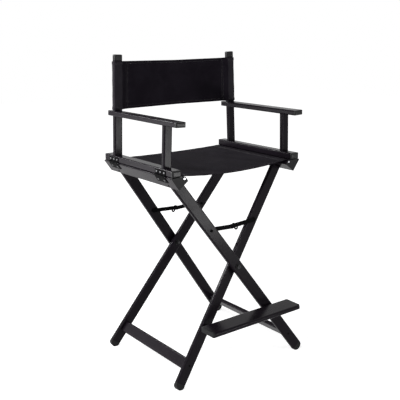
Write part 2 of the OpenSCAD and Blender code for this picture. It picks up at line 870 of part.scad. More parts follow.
module footrest_screws() {
    color("#9a9a9c")
        for (p = bracket_screws)
            translate([p[0], p[1], footrest_bottom - bracket_t])
                rotate([180, 0, 0])
                    screw(small_screw_r, small_head_r, small_head_h, 2 * bracket_t + board_wall);
}

// Bolt that the footrest turns on, with its wedge washer against the leaning leg.
module footrest_pivot_bolt() {
    leg_mid = leg_point(outer, front, 0, footrest_pivot_l)[1];
    head_at = bracket_y - bracket_t - seat_gap;
    nut_at = leg_mid + leg_t / 2 / cos(splay) + washer_rise();
    shank_end = nut_at + slim_nut_h + bolt_end;
    color("#77777a") {
        translate([footrest_pivot_x, 0, footrest_pivot_z]) {
            translate([0, head_at - slim_head_h / 2, 0]) y_rod(bolt_head_r, slim_head_h);
            translate([0, (head_at - slim_head_h / 2 + shank_end) / 2, 0])
                y_rod(pivot_r, shank_end - head_at + slim_head_h / 2);
            translate([0, nut_at + slim_nut_h / 2, 0])
                rotate([90, 0, 0]) cylinder(r = bolt_head_r, h = slim_nut_h, center = true, $fn = 6);
        }
        difference() {
            translate([footrest_pivot_x, (bracket_y + seat_gap + leg_mid) / 2, footrest_pivot_z])
                y_rod(footrest_washer_r, leg_mid - bracket_y - seat_gap);
            on_leg(outer, front)
                translate([0, 0, footrest_pivot_l])
                    cube([2 * leg_w, leg_t + 2 * wall_gap, 2 * leg_w], center = true);
        }
    }
}

module peg_at() {
    p = leg_point(inner, front, 0, peg_l);
    translate([cos(leg_angle) * peg_l * cos(splay), p[1], peg_z]) children();
}

// Sleeved peg on the inner front leg that the board's free end rests on, with its nut behind.
module footrest_peg() {
    leg_mid = leg_point(inner, front, 0, peg_l)[1];
    tip = board_rear_y - peg_reach;
    nut_at = leg_mid + leg_t / 2 / cos(splay) + washer_rise();
    shank_end = nut_at + slim_nut_h + bolt_end;
    color("#1b1b1b") {
        translate([cos(leg_angle) * peg_l * cos(splay), 0, peg_z]) {
            translate([0, (tip + shank_end) / 2, 0]) y_rod(peg_r / 2, shank_end - tip);
            translate([0, nut_at + slim_nut_h / 2, 0])
                rotate([90, 0, 0]) cylinder(r = peg_r, h = slim_nut_h, center = true, $fn = 6);
        }
        difference() {
            translate([cos(leg_angle) * peg_l * cos(splay), (tip + leg_mid) / 2, peg_z])
                y_rod(peg_r, leg_mid - tip);
            on_leg(inner, front)
                translate([0, 0, peg_l])
                    cube([2 * leg_w, leg_t + 2 * wall_gap, 2 * leg_w], center = true);
        }
    }
}

// Places its children on an arm, with Z up along its leaning posts from the arm rail's top.
module on_arm(side) {
    translate([side * arm_x, 0, post_base_z]) rotate([0, -side * arm_lean, 0]) children();
}

// Places its children in the plane of the backrest, from the arm rails' tops up.
module on_back() {
    translate([0, legs_y + back_post_y, post_base_z]) rotate([-back_tilt, 0, 0]) children();
}

// Places its children on a back post, with Z up along it.
module on_back_post(side) {
    on_back() translate([side * arm_x, 0, 0]) rotate([0, -side * arm_lean, 0]) children();
}

// Straight tube along Y with its section centred on X and Z.
module arm_tube(w, h, len) {
    rotate([90, 0, 0])
        linear_extrude(len - 2 * arm_cap_len, center = true) tube_profile(w, h, arm_corner, arm_wall);
}

// Plastic caps in both ends of an arm tube, rounded in plan and in side view.
module tube_caps(w, h, len) {
    for (end = [front, rear])
        translate([0, end * len / 2, 0]) {
            intersection() {
                translate([0, -end * arm_cap_len / 2, 0])
                    rotate([90, 0, 0]) linear_extrude(arm_cap_len, center = true)
                        rounded_rect(w, h, arm_corner);
                translate([0, -end * w / 2, 0])
                    linear_extrude(2 * h, center = true) rounded_rect(w, w, cap_round);
                translate([0, -end * w / 2, 0])
                    rotate([0, 90, 0]) linear_extrude(2 * w, center = true) rounded_rect(h, w, cap_round);
            }
            translate([0, -end * (arm_cap_len + plug_reach / 2), 0])
                rotate([90, 0, 0]) linear_extrude(plug_reach, center = true)
                    rounded_rect(w - 2 * (arm_wall + wall_gap), h - 2 * (arm_wall + wall_gap),
                        arm_corner - arm_wall);
        }
}

// Places its children at the middle of an arm rail.
module at_arm_rail(side) {
    translate([side * arm_x, rails_y, seat_z + arm_rail_h / 2]) children();
}

// Places its children at the middle of an armrest.
module at_armrest(side) {
    on_arm(side) translate([0, arms_y, armrest_up + armrest_h / 2]) children();
}

module arm_rail(side) {
    difference() {
        at_arm_rail(side) arm_tube(arm_rail_w, arm_rail_h, rail_len);
        for (end = [front, rear]) upper_screws_at(side, end) screw_hole();
    }
}

module arm_rail_left() {
    color("#2a282b") arm_rail(outer);
}

module arm_rail_right() {
    color("#2a282b") arm_rail(inner);
}

module armrest(side) {
    difference() {
        at_armrest(side) arm_tube(armrest_w, armrest_h, armrest_len);
        on_back_post(side)
            linear_extrude(post_up)
                rounded_rect(post_w + 2 * slide_fit, post_d + 2 * slide_fit, post_corner + slide_fit);
    }
}

module armrest_left() {
    color("#2a282b") armrest(outer);
}

module armrest_right() {
    color("#2a282b") armrest(inner);
}

// Post of that length up from its base, with a spare end below the base.
module post(len) {
    translate([0, 0, -post_w]) linear_extrude(len + post_w)
        grooved_profile(post_w, post_d, post_corner, arm_wall);
}

// Everything below the arm rails' tops, to cut the leaning posts flat there.
module below_posts() {
    translate([-foot_spread, -foot_spread, 0])
        cube([2 * foot_spread, 2 * foot_spread, post_base_z]);
}

module front_post(side) {
    difference() {
        on_arm(side) translate([0, legs_y - front_post_y, 0]) post(armrest_up);
        below_posts();
    }
}

module front_post_left() {
    color("#1f1d20") front_post(outer);
}

module front_post_right() {
    color("#1f1d20") front_post(inner);
}

module back_post(side) {
    difference() {
        on_back_post(side) post(post_up);
        below_posts();
    }
}

module back_post_left() {
    color("#1f1d20") back_post(outer);
}

module back_post_right() {
    color("#1f1d20") back_post(inner);
}

module arm_caps(side) {
    at_arm_rail(side) tube_caps(arm_rail_w, arm_rail_h, rail_len);
    at_armrest(side) tube_caps(armrest_w, armrest_h, armrest_len);
}

module arm_caps_left() {
    color("#1b191c") arm_caps(outer);
}

module arm_caps_right() {
    color("#1b191c") arm_caps(inner);
}

// Plug on a back post, with its top edges rounded.
module post_cap(side) {
    on_back_post(side)
        translate([0, 0, post_up]) {
            intersection() {
                linear_extrude(post_cap_h) rounded_rect(post_w, post_d, post_corner);
                rotate([90, 0, 0])
                    linear_extrude(2 * post_d, center = true) rounded_rect(post_w, 2 * post_cap_h, cap_round);
                rotate([90, 0, 90])
                    linear_extrude(2 * post_w, center = true) rounded_rect(post_d, 2 * post_cap_h, cap_round);
            }
            translate([0, 0, -plug_reach])
                linear_extrude(plug_reach)
                    rounded_rect(post_w - 2 * (arm_wall + wall_gap), post_d - 2 * (arm_wall + wall_gap),
                        post_corner - arm_wall);
        }
}

module back_post_cap_left() {
    color("#1b191c") post_cap(outer);
}

module back_post_cap_right() {
    color("#1b191c") post_cap(inner);
}

function hinge_y(end) = rails_y + end * hinge_half;
function knuckle_y(i) = (i - (knuckles - 1) / 2) * (knuckle_len + knuckle_gap);

module knuckle_rings(first) {
    for (i = [first : 2 : knuckles - 1]) translate([0, knuckle_y(i), 0]) children();
}

// Leaf on the arm rail's outer face: the knuckles at both ends and in the middle.
module upper_leaf(end) {
    translate([hinge_x, hinge_y(end), hinge_z])
        difference() {
            union() {
                translate([arm_out - hinge_x + wall_gap, -hinge_len / 2, barrel_r + 2 * seat_gap])
                    cube([leaf_t, hinge_len, upper_leaf_h - barrel_r - 2 * seat_gap]);
                knuckle_rings(0) {
                    y_rod(barrel_r, knuckle_len);
                    translate([arm_out - hinge_x + wall_gap, -knuckle_len / 2, 0])
                        cube([leaf_t, knuckle_len, barrel_r + 4 * seat_gap]);
                }
            }
            y_rod(hinge_pin_r + bore_fit, 2 * hinge_len);
            for (dy = upper_screw_places)
                translate([0, dy, arm_rail_h / 2]) rotate([0, 90, 0])
                    cylinder(r = small_screw_r + wall_gap, h = 6 * leaf_t, center = true);
        }
}

module upper_leaves(side) {
    right_or_left(side) for (end = [front, rear]) upper_leaf(end);
}

module upper_leaves_left() {
    color("#3f3d41") upper_leaves(outer);
}

module upper_leaves_right() {
    color("#3f3d41") upper_leaves(inner);
}

// Leaf on the seat rail's outer side, drawn along that side.
module lower_leaf(end) {
    q_face = rail_half + wall_gap;
    u_pin = hinge_x * cos(leg_angle) + (hinge_z - pivot_z) * sin(leg_angle);
    q_pin = hinge_x * sin(leg_angle) - (hinge_z - pivot_z) * cos(leg_angle);
    translate([hinge_x, hinge_y(end), hinge_z])
        difference() {
            union() {
                rotate([0, leg_lean, 0]) {
                    translate([q_face - q_pin, -hinge_len / 2, -lower_leaf_h])
                        cube([leaf_t, hinge_len, lower_leaf_h - barrel_r - 2 * seat_gap]);
                    knuckle_rings(1)
                        translate([q_face - q_pin, -knuckle_len / 2, -barrel_r - 4 * seat_gap])
                            cube([leaf_t, knuckle_len, barrel_r + 4 * seat_gap]);
                }
                knuckle_rings(1) y_rod(barrel_r, knuckle_len);
            }
            y_rod(hinge_pin_r + bore_fit, 2 * hinge_len);
            rotate([0, leg_lean, 0])
                for (dy = lower_screw_places)
                    translate([0, dy, lower_screw_u - u_pin]) rotate([0, 90, 0])
                        cylinder(r = small_screw_r + wall_gap, h = 10 * leaf_t, center = true);
        }
}

module lower_leaves(side) {
    right_or_left(side) for (end = [front, rear]) lower_leaf(end);
}

module lower_leaves_left() {
    color("#3f3d41") lower_leaves(outer);
}

module lower_leaves_right() {
    color("#3f3d41") lower_leaves(inner);
}

module hinge_pins(side) {
    right_or_left(side)
        for (end = [front, rear])
            translate([hinge_x, hinge_y(end), hinge_z]) {
                y_rod(hinge_pin_r, hinge_len);
                for (tip = [-1, 1])
                    translate([0, tip * (hinge_len / 2 + pin_head_h / 2 + wall_gap), 0])
                        y_rod(pin_head_r, pin_head_h);
            }
}

module hinge_pins_left() {
    color("#8d8d90") hinge_pins(outer);
}

module hinge_pins_right() {
    color("#8d8d90") hinge_pins(inner);
}

module screw_hole() {
    translate([0, 0, -screw_reach]) cylinder(r = small_screw_r + wall_gap, h = screw_reach + leaf_t);
}

// Places its children at the upper leaf's screws, with Z out of the arm rail's outer face.
module upper_screws_at(side, end) {
    right_or_left(side)
        for (dy = upper_screw_places)
            translate([arm_out + wall_gap + leaf_t, hinge_y(end) + dy, hinge_z + arm_rail_h / 2])
                rotate([0, 90, 0]) children();
}

// Places its children at the lower leaf's screws, with Z out of the seat rail's outer side.
module lower_screws_at(side, end) {
    right_or_left(side)
        for (dy = lower_screw_places) {
            p = rail_point(lower_screw_u, rail_half + wall_gap + leaf_t);
            translate([p[0], hinge_y(end) + dy, p[1]]) rotate([0, 90 + leg_lean, 0]) children();
        }
}

module upper_hinge_screws(side) {
    for (end = [front, rear])
        upper_screws_at(side, end)
            translate([0, 0, wall_gap]) screw(small_screw_r, small_head_r, small_head_h, screw_reach - 1);
}

module upper_hinge_screws_left() {
    color("#d0d0d2") upper_hinge_screws(outer);
}

module upper_hinge_screws_right() {
    color("#d0d0d2") upper_hinge_screws(inner);
}

module lower_hinge_screws(side) {
    for (end = [front, rear])
        lower_screws_at(side, end)
            translate([0, 0, wall_gap]) screw(small_screw_r, small_head_r, small_head_h, short_screw_reach);
}

module lower_hinge_screws_left() {
    color("#a8a8aa") lower_hinge_screws(outer);
}

module lower_hinge_screws_right() {
    color("#a8a8aa") lower_hinge_screws(inner);
}

// Seat cloth in section: hems round both rods, necks up through the slits and the sagging sheet.
module seat_fabric() {
    hem_in = rod_r + seat_gap;
    hem_out = channel_r - seat_gap;
    half_len = rail_len / 2 - seat_inset;
    neck_low = channel_z + hem_out - neck_sink;
    inner_x = rail_point(rail_along(rail_top, -rail_half), -rail_half)[0];
    sag_r = (inner_x * inner_x + seat_sag * seat_sag) / (2 * seat_sag);
    color("#19171b")
        along_y(rails_y - half_len, rails_y + half_len) {
            for (side = [-1, 1]) scale([side, 1]) {
                translate([channel_x, channel_z])
                    difference() {
                        circle(r = hem_out);
                        circle(r = hem_in);
                    }
                translate([slit_x - seat_t / 2, neck_low]) square([seat_t, seat_z + seat_t / 2 - neck_low]);
                translate([inner_x - seat_t, seat_z]) square([slit_x - inner_x + seat_t, seat_t]);
            }
            intersection() {
                translate([-inner_x + seat_t / 2, seat_z - seat_sag - seat_t])
                    square([2 * inner_x - seat_t, seat_sag + 3 * seat_t]);
                translate([0, seat_z + sag_r - seat_sag])
                    difference() {
                        circle(r = sag_r, $fn = 400);
                        circle(r = sag_r - seat_t, $fn = 400);
                    }
            }
        }
}

// Half the width of the back panel at a height above the arm rails, out to its seam.
function seam_x(up) = arm_x - up * tan(arm_lean) - seam_inset / cos(arm_lean);

// Back cloth: a sleeve round each leaning post that narrows to its seam, and the doubled panel.
module back_fabric() {
    sleeve_w = post_w + 2 * (seat_gap + sleeve_t);
    sleeve_d = post_d + 2 * (seat_gap + sleeve_t);
    round_from = post_w / 2 + seat_gap - post_corner;
    low = (armrest_top + back_over_arm - post_base_z) / cos(back_tilt);
    high = (post_up - back_below_cap) * cos(arm_lean);
    color("#19171b")
        on_back() {
            intersection() {
                for (side = [-1, 1])
                    translate([side * arm_x, 0, 0])
                        rotate([0, -side * arm_lean, 0])
                            scale([side, 1, 1])
                                linear_extrude(post_up + post_cap_h)
                                    difference() {
                                        union() {
                                            rounded_rect(sleeve_w, sleeve_d,
                                                post_corner + seat_gap + sleeve_t);
                                            polygon([
                                                [-seam_inset, -back_t / 2 + seat_gap],
                                                [-round_from, -sleeve_d / 2],
                                                [-round_from, sleeve_d / 2],
                                                [-seam_inset, back_t / 2 - seat_gap]
                                            ]);
                                        }
                                        rounded_rect(post_w + 2 * seat_gap, post_d + 2 * seat_gap,
                                            post_corner + seat_gap);
                                    }
                translate([-foot_spread, -foot_spread, low])
                    cube([2 * foot_spread, 2 * foot_spread, high - low]);
            }
            along_y(-back_t / 2, back_t / 2)
                polygon([
                    [-seam_x(low) - back_t, low],
                    [seam_x(low) + back_t, low],
                    [seam_x(high) + back_t, high],
                    [-seam_x(high) - back_t, high]
                ]);
        }
}

front_leg_outer();
rear_leg_outer();
front_leg_inner();
rear_leg_inner();
foot_caps_outer();
foot_caps_inner();
stretcher_right();
stretcher_left();
stretcher_screws_right();
stretcher_screws_left();
seat_rail_left();
seat_rail_right();
rail_plates_left();
rail_plates_right();
rail_bolts_left();
rail_bolts_right();
seat_rod_left();
seat_rod_right();
pivot_bolts();
pivot_nuts();
pivot_washers_outer();
pivot_washers_inner();
brace_bolts_outer();
brace_bolts_inner();
brace_link_front_outer();
brace_link_front_inner();
brace_link_rear_outer();
brace_link_rear_inner();
footrest_board();
footrest_caps();
footrest_bracket();
footrest_screws();
footrest_pivot_bolt();
footrest_peg();
arm_rail_left();
arm_rail_right();
armrest_left();
armrest_right();
front_post_left();
front_post_right();
back_post_left();
back_post_right();
arm_caps_left();
arm_caps_right();
back_post_cap_left();
back_post_cap_right();
lower_leaves_left();
lower_leaves_right();
upper_leaves_left();
upper_leaves_right();
hinge_pins_left();
hinge_pins_right();
lower_hinge_screws_left();
lower_hinge_screws_right();
upper_hinge_screws_left();
upper_hinge_screws_right();
seat_fabric();
back_fabric();
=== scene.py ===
"""Tall folding makeup chair in black aluminium, with a canvas seat and back and a footrest."""
import json
import logging
import math
from dataclasses import dataclass
from enum import Enum

import bpy
import numpy as np
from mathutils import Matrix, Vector


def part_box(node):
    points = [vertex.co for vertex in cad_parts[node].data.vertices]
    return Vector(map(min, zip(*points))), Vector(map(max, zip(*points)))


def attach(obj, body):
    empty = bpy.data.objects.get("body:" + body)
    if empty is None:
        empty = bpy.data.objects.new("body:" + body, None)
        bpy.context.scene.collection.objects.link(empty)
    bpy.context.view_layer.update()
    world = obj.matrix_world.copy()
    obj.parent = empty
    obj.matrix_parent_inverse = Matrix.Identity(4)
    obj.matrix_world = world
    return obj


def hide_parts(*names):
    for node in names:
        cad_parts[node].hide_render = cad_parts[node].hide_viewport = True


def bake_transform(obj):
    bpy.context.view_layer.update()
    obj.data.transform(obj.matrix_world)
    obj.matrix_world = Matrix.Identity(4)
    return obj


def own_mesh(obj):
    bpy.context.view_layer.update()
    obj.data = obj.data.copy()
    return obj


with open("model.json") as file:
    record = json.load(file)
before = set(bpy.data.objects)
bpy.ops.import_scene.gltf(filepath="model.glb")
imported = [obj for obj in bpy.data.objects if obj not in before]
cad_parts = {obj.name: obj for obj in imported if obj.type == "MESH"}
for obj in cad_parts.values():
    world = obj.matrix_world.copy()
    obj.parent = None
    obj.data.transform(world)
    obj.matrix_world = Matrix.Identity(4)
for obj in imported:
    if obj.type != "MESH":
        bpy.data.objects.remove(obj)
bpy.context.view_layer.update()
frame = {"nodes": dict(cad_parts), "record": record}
LOG = logging.getLogger("chair")

Array = np.ndarray
Point = tuple[float, float, float]
Colour = tuple[float, float, float]

UP: Point = (0.0, 0.0, 1.0)
MIDDLE: Point = (0.0, 0.0, 0.65)


class Frame(Enum):
    """The bodies that the fabric rides on."""

    INNER = "inner_frame"
    OUTER = "outer_frame"
    ARM_RIGHT = "arm_right"
    ARM_LEFT = "arm_left"


class Run(Enum):
    """The direction in which a tube was drawn, which its fine lines follow."""

    LEG_OUTER_FRONT = (-0.5879, 0.0958, 0.8032)
    LEG_OUTER_REAR = (-0.5879, -0.0958, 0.8032)
    LEG_INNER_FRONT = (0.5879, 0.0958, 0.8032)
    LEG_INNER_REAR = (0.5879, -0.0958, 0.8032)
    POST_LEFT = (0.0366, 0.0, 0.9993)
    POST_RIGHT = (-0.0366, 0.0, 0.9993)
    BACK_POST_LEFT = (0.0366, 0.0122, 0.9993)
    BACK_POST_RIGHT = (-0.0366, 0.0122, 0.9993)
    DEPTH = (0.0, 1.0, 0.0)
    WIDTH = (1.0, 0.0, 0.0)


def node_box(name: str) -> tuple[Array, Array]:
    """Lowest and highest corner of a CAD node, in metres."""
    low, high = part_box(name)
    return np.array(low), np.array(high)


# Shader groups


class Group:
    """A shader node group under construction, with short calls for its nodes and links."""

    def __init__(self, name: str, inputs: dict[str, object], outputs: dict[str, str]) -> None:
        """Makes the group with its named sockets.

        Args:
            name: the group's name.
            inputs: a default for each input, where a number, a vector or a colour sets its kind.
            outputs: the kind of each output: Float, Color or Vector.
        """
        self.tree = bpy.data.node_groups.new(name, "ShaderNodeTree")
        self.start = self.tree.nodes.new("NodeGroupInput")
        self.end = self.tree.nodes.new("NodeGroupOutput")
        for key, value in inputs.items():
            length = len(value) if isinstance(value, tuple) else 1
            kind = {1: "Float", 3: "Vector", 4: "Color"}[length]
            socket = self.tree.interface.new_socket(
                key, in_out="INPUT", socket_type="NodeSocket" + kind
            )
            socket.default_value = value
        for key, kind in outputs.items():
            self.tree.interface.new_socket(key, in_out="OUTPUT", socket_type="NodeSocket" + kind)

    def into(self, name: str) -> bpy.types.NodeSocket:
        """The group's input of that name, to link from."""
        return self.start.outputs[name]

    def out(self, name: str, socket: bpy.types.NodeSocket) -> None:
        """Links a socket to the group's output of that name."""
        self.tree.links.new(socket, self.end.inputs[name])

    def node(self, kind: str, settings: dict | None = None, **links: object) -> bpy.types.Node:
        """Adds a node to the group and feeds its inputs, as add_node does."""
        return add_node(self.tree, kind, settings, **links)


def add_node(
    tree: bpy.types.NodeTree, kind: str, settings: dict | None = None, **links: object
) -> bpy.types.Node:
    """Adds a node to a tree and feeds its inputs.

    Args:
        tree: the material's or the group's tree.
        kind: the node's type without its ShaderNode prefix.
        settings: properties to set on it.
        **links: sockets or plain values for its inputs, by name, with _ for a space, or by
            position as i0, i1 and so on.

    Returns:
        The new node.
    """
    made = tree.nodes.new("ShaderNode" + kind)
    for key, value in (settings or {}).items():
        setattr(made, key, value)
    for key, value in links.items():
        by_place = key[0] == "i" and key[1:].isdigit()
        socket = made.inputs[int(key[1:]) if by_place else key.replace("_", " ")]
        if isinstance(value, bpy.types.NodeSocket):
            tree.links.new(value, socket)
        else:
            socket.default_value = value
    return made


def math_node(group: Group, how: str, a: object, b: object = 0.0) -> bpy.types.NodeSocket:
    """Adds a Math node, such as MULTIPLY, to a group and gives its result."""
    return group.node("Math", {"operation": how}, i0=a, i1=b).outputs[0]


def drawn_lines_group() -> bpy.types.NodeTree:
    """Fine lines along a drawn tube: noise on the position, shrunk along the tube's run.

    The position p becomes p minus nearly all of its part along the run, so the noise hardly
    changes along the tube and changes fast across it.

    Returns:
        The group, with a Lines value of about 0 to 1.
    """
    group = Group(
        "drawn_lines",
        {"Position": UP, "Run": UP, "Lines per metre": 900.0, "Shrink": 0.985},
        {"Lines": "Float"},
    )
    place, run = group.into("Position"), group.into("Run")
    along = group.node("VectorMath", {"operation": "DOT_PRODUCT"}, i0=place, i1=run)
    share = math_node(group, "MULTIPLY", along.outputs["Value"], group.into("Shrink"))
    pull = group.node("VectorMath", {"operation": "SCALE"}, i0=run, Scale=share)
    flat = group.node("VectorMath", {"operation": "SUBTRACT"}, i0=place, i1=pull.outputs[0])
    fine = group.node(
        "TexNoise", {}, Vector=flat.outputs[0], Scale=group.into("Lines per metre"),
        Detail=3.0, Roughness=0.65,
    )
    group.out("Lines", fine.outputs["Fac"])
    return group.tree


def handling_group() -> bpy.types.NodeTree:
    """Faint smudges and dust from handling: soft clouds with a fine grain over them.

    Returns:
        The group, with a Smudge and a Dust mask from 0 to 1.
    """
    group = Group(
        "handling",
        {"Position": UP, "Cloud scale": 9.0, "Grain scale": 520.0, "Amount": 0.5},
        {"Smudge": "Float", "Dust": "Float"},
    )
    place, amount = group.into("Position"), group.into("Amount")
    smooth = {"interpolation_type": "SMOOTHSTEP"}
    cloud = group.node(
        "TexNoise", {}, Vector=place, Scale=group.into("Cloud scale"),
        Detail=4.0, Roughness=0.55, Distortion=0.4,
    ).outputs["Fac"]
    spread = group.node("MapRange", smooth, Value=cloud, From_Min=0.38, From_Max=0.72).outputs[0]
    grain = group.node(
        "TexNoise", {}, Vector=place, Scale=group.into("Grain scale"), Detail=2.0
    ).outputs["Fac"]
    specks = group.node("MapRange", smooth, Value=grain, From_Min=0.6, From_Max=0.78).outputs[0]
    group.out("Smudge", math_node(group, "MULTIPLY", spread, amount))
    dusty = math_node(group, "MULTIPLY", specks, spread)
    group.out("Dust", math_node(group, "MULTIPLY", dusty, amount))
    return group.tree


def weave_group() -> bpy.types.NodeTree:
    """Plain weave on a UV map in metres: warp and weft threads that pass over and under in turn.

    Each thread is a rounded ridge, the absolute value of a sine across it. Which of the two is on
    top changes with the sign of the product of both sines.

    Returns:
        The group, with Height, a Gap mask and a Yarn value that varies from thread to thread.
    """
    group = Group(
        "plain_weave",
        {"Cloth": UP, "Pitch": 0.0011, "Slub": 0.35},
        {"Height": "Float", "Gap": "Float", "Yarn": "Float"},
    )
    wobble = group.node("TexNoise", {}, Vector=group.into("Cloth"), Scale=160.0, Detail=2.0)
    drift = group.node("VectorMath", {"operation": "SCALE"}, i0=wobble.outputs["Color"], Scale=0.0004)
    moved = group.node("VectorMath", {"operation": "ADD"}, i0=group.into("Cloth"), i1=drift.outputs[0])
    parts = group.node("SeparateXYZ", {}, Vector=moved.outputs[0])
    turn = math_node(group, "DIVIDE", math.pi, group.into("Pitch"))
    warp_wave = math_node(group, "SINE", math_node(group, "MULTIPLY", parts.outputs[0], turn))
    weft_wave = math_node(group, "SINE", math_node(group, "MULTIPLY", parts.outputs[1], turn))
    warp = math_node(group, "ABSOLUTE", warp_wave)
    weft = math_node(group, "ABSOLUTE", weft_wave)
    crossing = math_node(group, "MULTIPLY", warp_wave, weft_wave)
    over = group.node("MapRange", {}, Value=crossing, From_Min=-0.25, From_Max=0.25)
    top = group.node("Mix", {"data_type": "FLOAT"}, i0=over.outputs[0], i2=warp, i3=weft)
    slub = group.node("TexNoise", {}, Vector=group.into("Cloth"), Scale=75.0, Detail=3.0, Roughness=0.7)
    heavy = math_node(group, "MULTIPLY", slub.outputs["Fac"], group.into("Slub"))
    group.out("Height", math_node(group, "ADD", top.outputs[0], heavy))
    low = group.node("MapRange", {}, Value=top.outputs[0], From_Min=0.45, From_Max=0.0)
    group.out("Gap", low.outputs[0])
    group.out("Yarn", slub.outputs["Fac"])
    return group.tree


def moulded_grain_group() -> bpy.types.NodeTree:
    """Spark-eroded grain of moulded plastic: small rounded cells with finer noise over them.

    Returns:
        The group, with a Height for bumps and a Mottle value.
    """
    group = Group(
        "moulded_grain",
        {"Position": UP, "Cell scale": 1400.0},
        {"Height": "Float", "Mottle": "Float"},
    )
    place, scale = group.into("Position"), group.into("Cell scale")
    cells = group.node("TexVoronoi", {"feature": "SMOOTH_F1"}, Vector=place, Scale=scale)
    fine = group.node("TexNoise", {}, Vector=place, Scale=scale, Detail=2.0)
    group.out("Height", math_node(group, "ADD", cells.outputs["Distance"], fine.outputs["Fac"]))
    broad = group.node("TexNoise", {}, Vector=place, Scale=28.0, Detail=3.0)
    group.out("Mottle", broad.outputs["Fac"])
    return group.tree


# Finishes


class Shelf:
    """The shader groups, each built once."""

    groups: dict[str, bpy.types.NodeTree] = {}

    @classmethod
    def take(cls, name: str) -> bpy.types.NodeTree:
        """The group of that name, built on its first use.

        Args:
            name: the key in the makers' table.

        Returns:
            The group's tree.
        """
        makers = {
            "drawn": drawn_lines_group,
            "handling": handling_group,
            "weave": weave_group,
            "moulded": moulded_grain_group,
        }
        if name not in cls.groups:
            cls.groups[name] = makers[name]()
        return cls.groups[name]


class Coat:
    """A material under construction around one Principled shader."""

    def __init__(self, name: str) -> None:
        """Makes the material with its shader and an Object position.

        Args:
            name: the material's name.
        """
        self.material = bpy.data.materials.new(name)
        self.material.use_nodes = True
        self.tree = self.material.node_tree
        self.shader = next(n for n in self.tree.nodes if n.type == "BSDF_PRINCIPLED")
        self.position = add_node(self.tree, "TexCoord").outputs["Object"]

    def group(self, name: str, **links: object) -> bpy.types.Node:
        """Places one of the shelf's groups in the material and feeds its inputs."""
        return add_node(self.tree, "Group", {"node_tree": Shelf.take(name)}, **links)

    def blend(self, low: Colour, high: Colour, share: bpy.types.NodeSocket) -> bpy.types.NodeSocket:
        """Mixes two colours by a mask: low where it is 0, high where it is 1."""
        ends = {"i6": (*low, 1.0), "i7": (*high, 1.0)}
        return add_node(self.tree, "Mix", {"data_type": "RGBA"}, i0=share, **ends).outputs[2]

    def lighten(
        self, base: bpy.types.NodeSocket, extra: Colour, share: bpy.types.NodeSocket
    ) -> bpy.types.NodeSocket:
        """Adds an extra colour to another one by a mask."""
        settings = {"data_type": "RGBA", "blend_type": "ADD"}
        return add_node(self.tree, "Mix", settings, i0=share, i6=base, i7=(*extra, 1.0)).outputs[2]

    def sum(self, value: bpy.types.NodeSocket, factor: float, more: object) -> bpy.types.NodeSocket:
        """A value times a factor, plus more."""
        how = {"operation": "MULTIPLY_ADD"}
        return add_node(self.tree, "Math", how, i0=value, i1=factor, i2=more).outputs[0]

    def ramp(self, value: bpy.types.NodeSocket, low: float, high: float) -> bpy.types.NodeSocket:
        """Maps a value from 0..1 to low..high."""
        return add_node(self.tree, "MapRange", {}, Value=value, To_Min=low, To_Max=high).outputs[0]

    def bump(self, height: bpy.types.NodeSocket, strength: float, depth: float) -> None:
        """Feeds a height to the shader's normal, with a strength and a depth in metres."""
        made = add_node(self.tree, "Bump", {}, Strength=strength, Distance=depth, Height=height)
        self.feed("Normal", made.outputs[0])

    def feed(self, socket: str, value: object) -> None:
        """Links or sets one of the shader's inputs.

        Args:
            socket: the input's name.
            value: a socket to link, or a plain value to set.
        """
        if isinstance(value, bpy.types.NodeSocket):
            self.tree.links.new(value, self.shader.inputs[socket])
        else:
            self.shader.inputs[socket].default_value = value


@dataclass(frozen=True)
class Anodised:
    """Satin black anodised aluminium, with the lines of the die along the tube."""

    run: Run
    dark: Colour = (0.0056, 0.0043, 0.0062)
    pale: Colour = (0.0112, 0.0086, 0.0122)
    rough_low: float = 0.17
    rough_high: float = 0.26
    shine: float = 0.052
    dust: Colour = (0.010, 0.010, 0.011)
    smudge_rough: float = 0.12
    line_depth: float = 0.00006

    def make(self) -> bpy.types.Material:
        """Builds the material for the tube's direction.

        Returns:
            The finished material.
        """
        coat = Coat("anodised_" + self.run.name.lower())
        lines = coat.group("drawn", Position=coat.position, Run=self.run.value)
        marks = coat.group("handling", Position=coat.position, Amount=0.55)
        drawn = coat.blend(self.dark, self.pale, lines.outputs["Lines"])
        coat.feed("Base Color", coat.lighten(drawn, self.dust, marks.outputs["Dust"]))
        smudge = coat.sum(marks.outputs["Smudge"], self.smudge_rough, 0.0)
        base = coat.ramp(lines.outputs["Lines"], self.rough_low, self.rough_high)
        coat.feed("Roughness", coat.sum(base, 1.0, smudge))
        coat.feed("Specular IOR Level", self.shine)
        coat.bump(lines.outputs["Lines"], 0.35, self.line_depth)
        return coat.material


@dataclass(frozen=True)
class Moulded:
    """Black moulded plastic with a fine grain."""

    name: str = "black_plastic"
    dark: Colour = (0.006, 0.006, 0.0065)
    pale: Colour = (0.013, 0.0128, 0.0135)
    rough: float = 0.42
    smoother: float = 0.06
    rougher: float = 0.08
    shine: float = 0.08
    grain_depth: float = 0.00008

    def make(self) -> bpy.types.Material:
        """Builds the material, a little smoother in its dark places than in its pale ones.

        Returns:
            The finished material.
        """
        coat = Coat(self.name)
        grain = coat.group("moulded", Position=coat.position)
        mottle = grain.outputs["Mottle"]
        coat.feed("Specular IOR Level", self.shine)
        coat.feed("Base Color", coat.blend(self.dark, self.pale, mottle))
        rough = coat.ramp(mottle, self.rough - self.smoother, self.rough + self.rougher)
        coat.feed("Roughness", rough)
        coat.bump(grain.outputs["Height"], 0.25, self.grain_depth)
        return coat.material


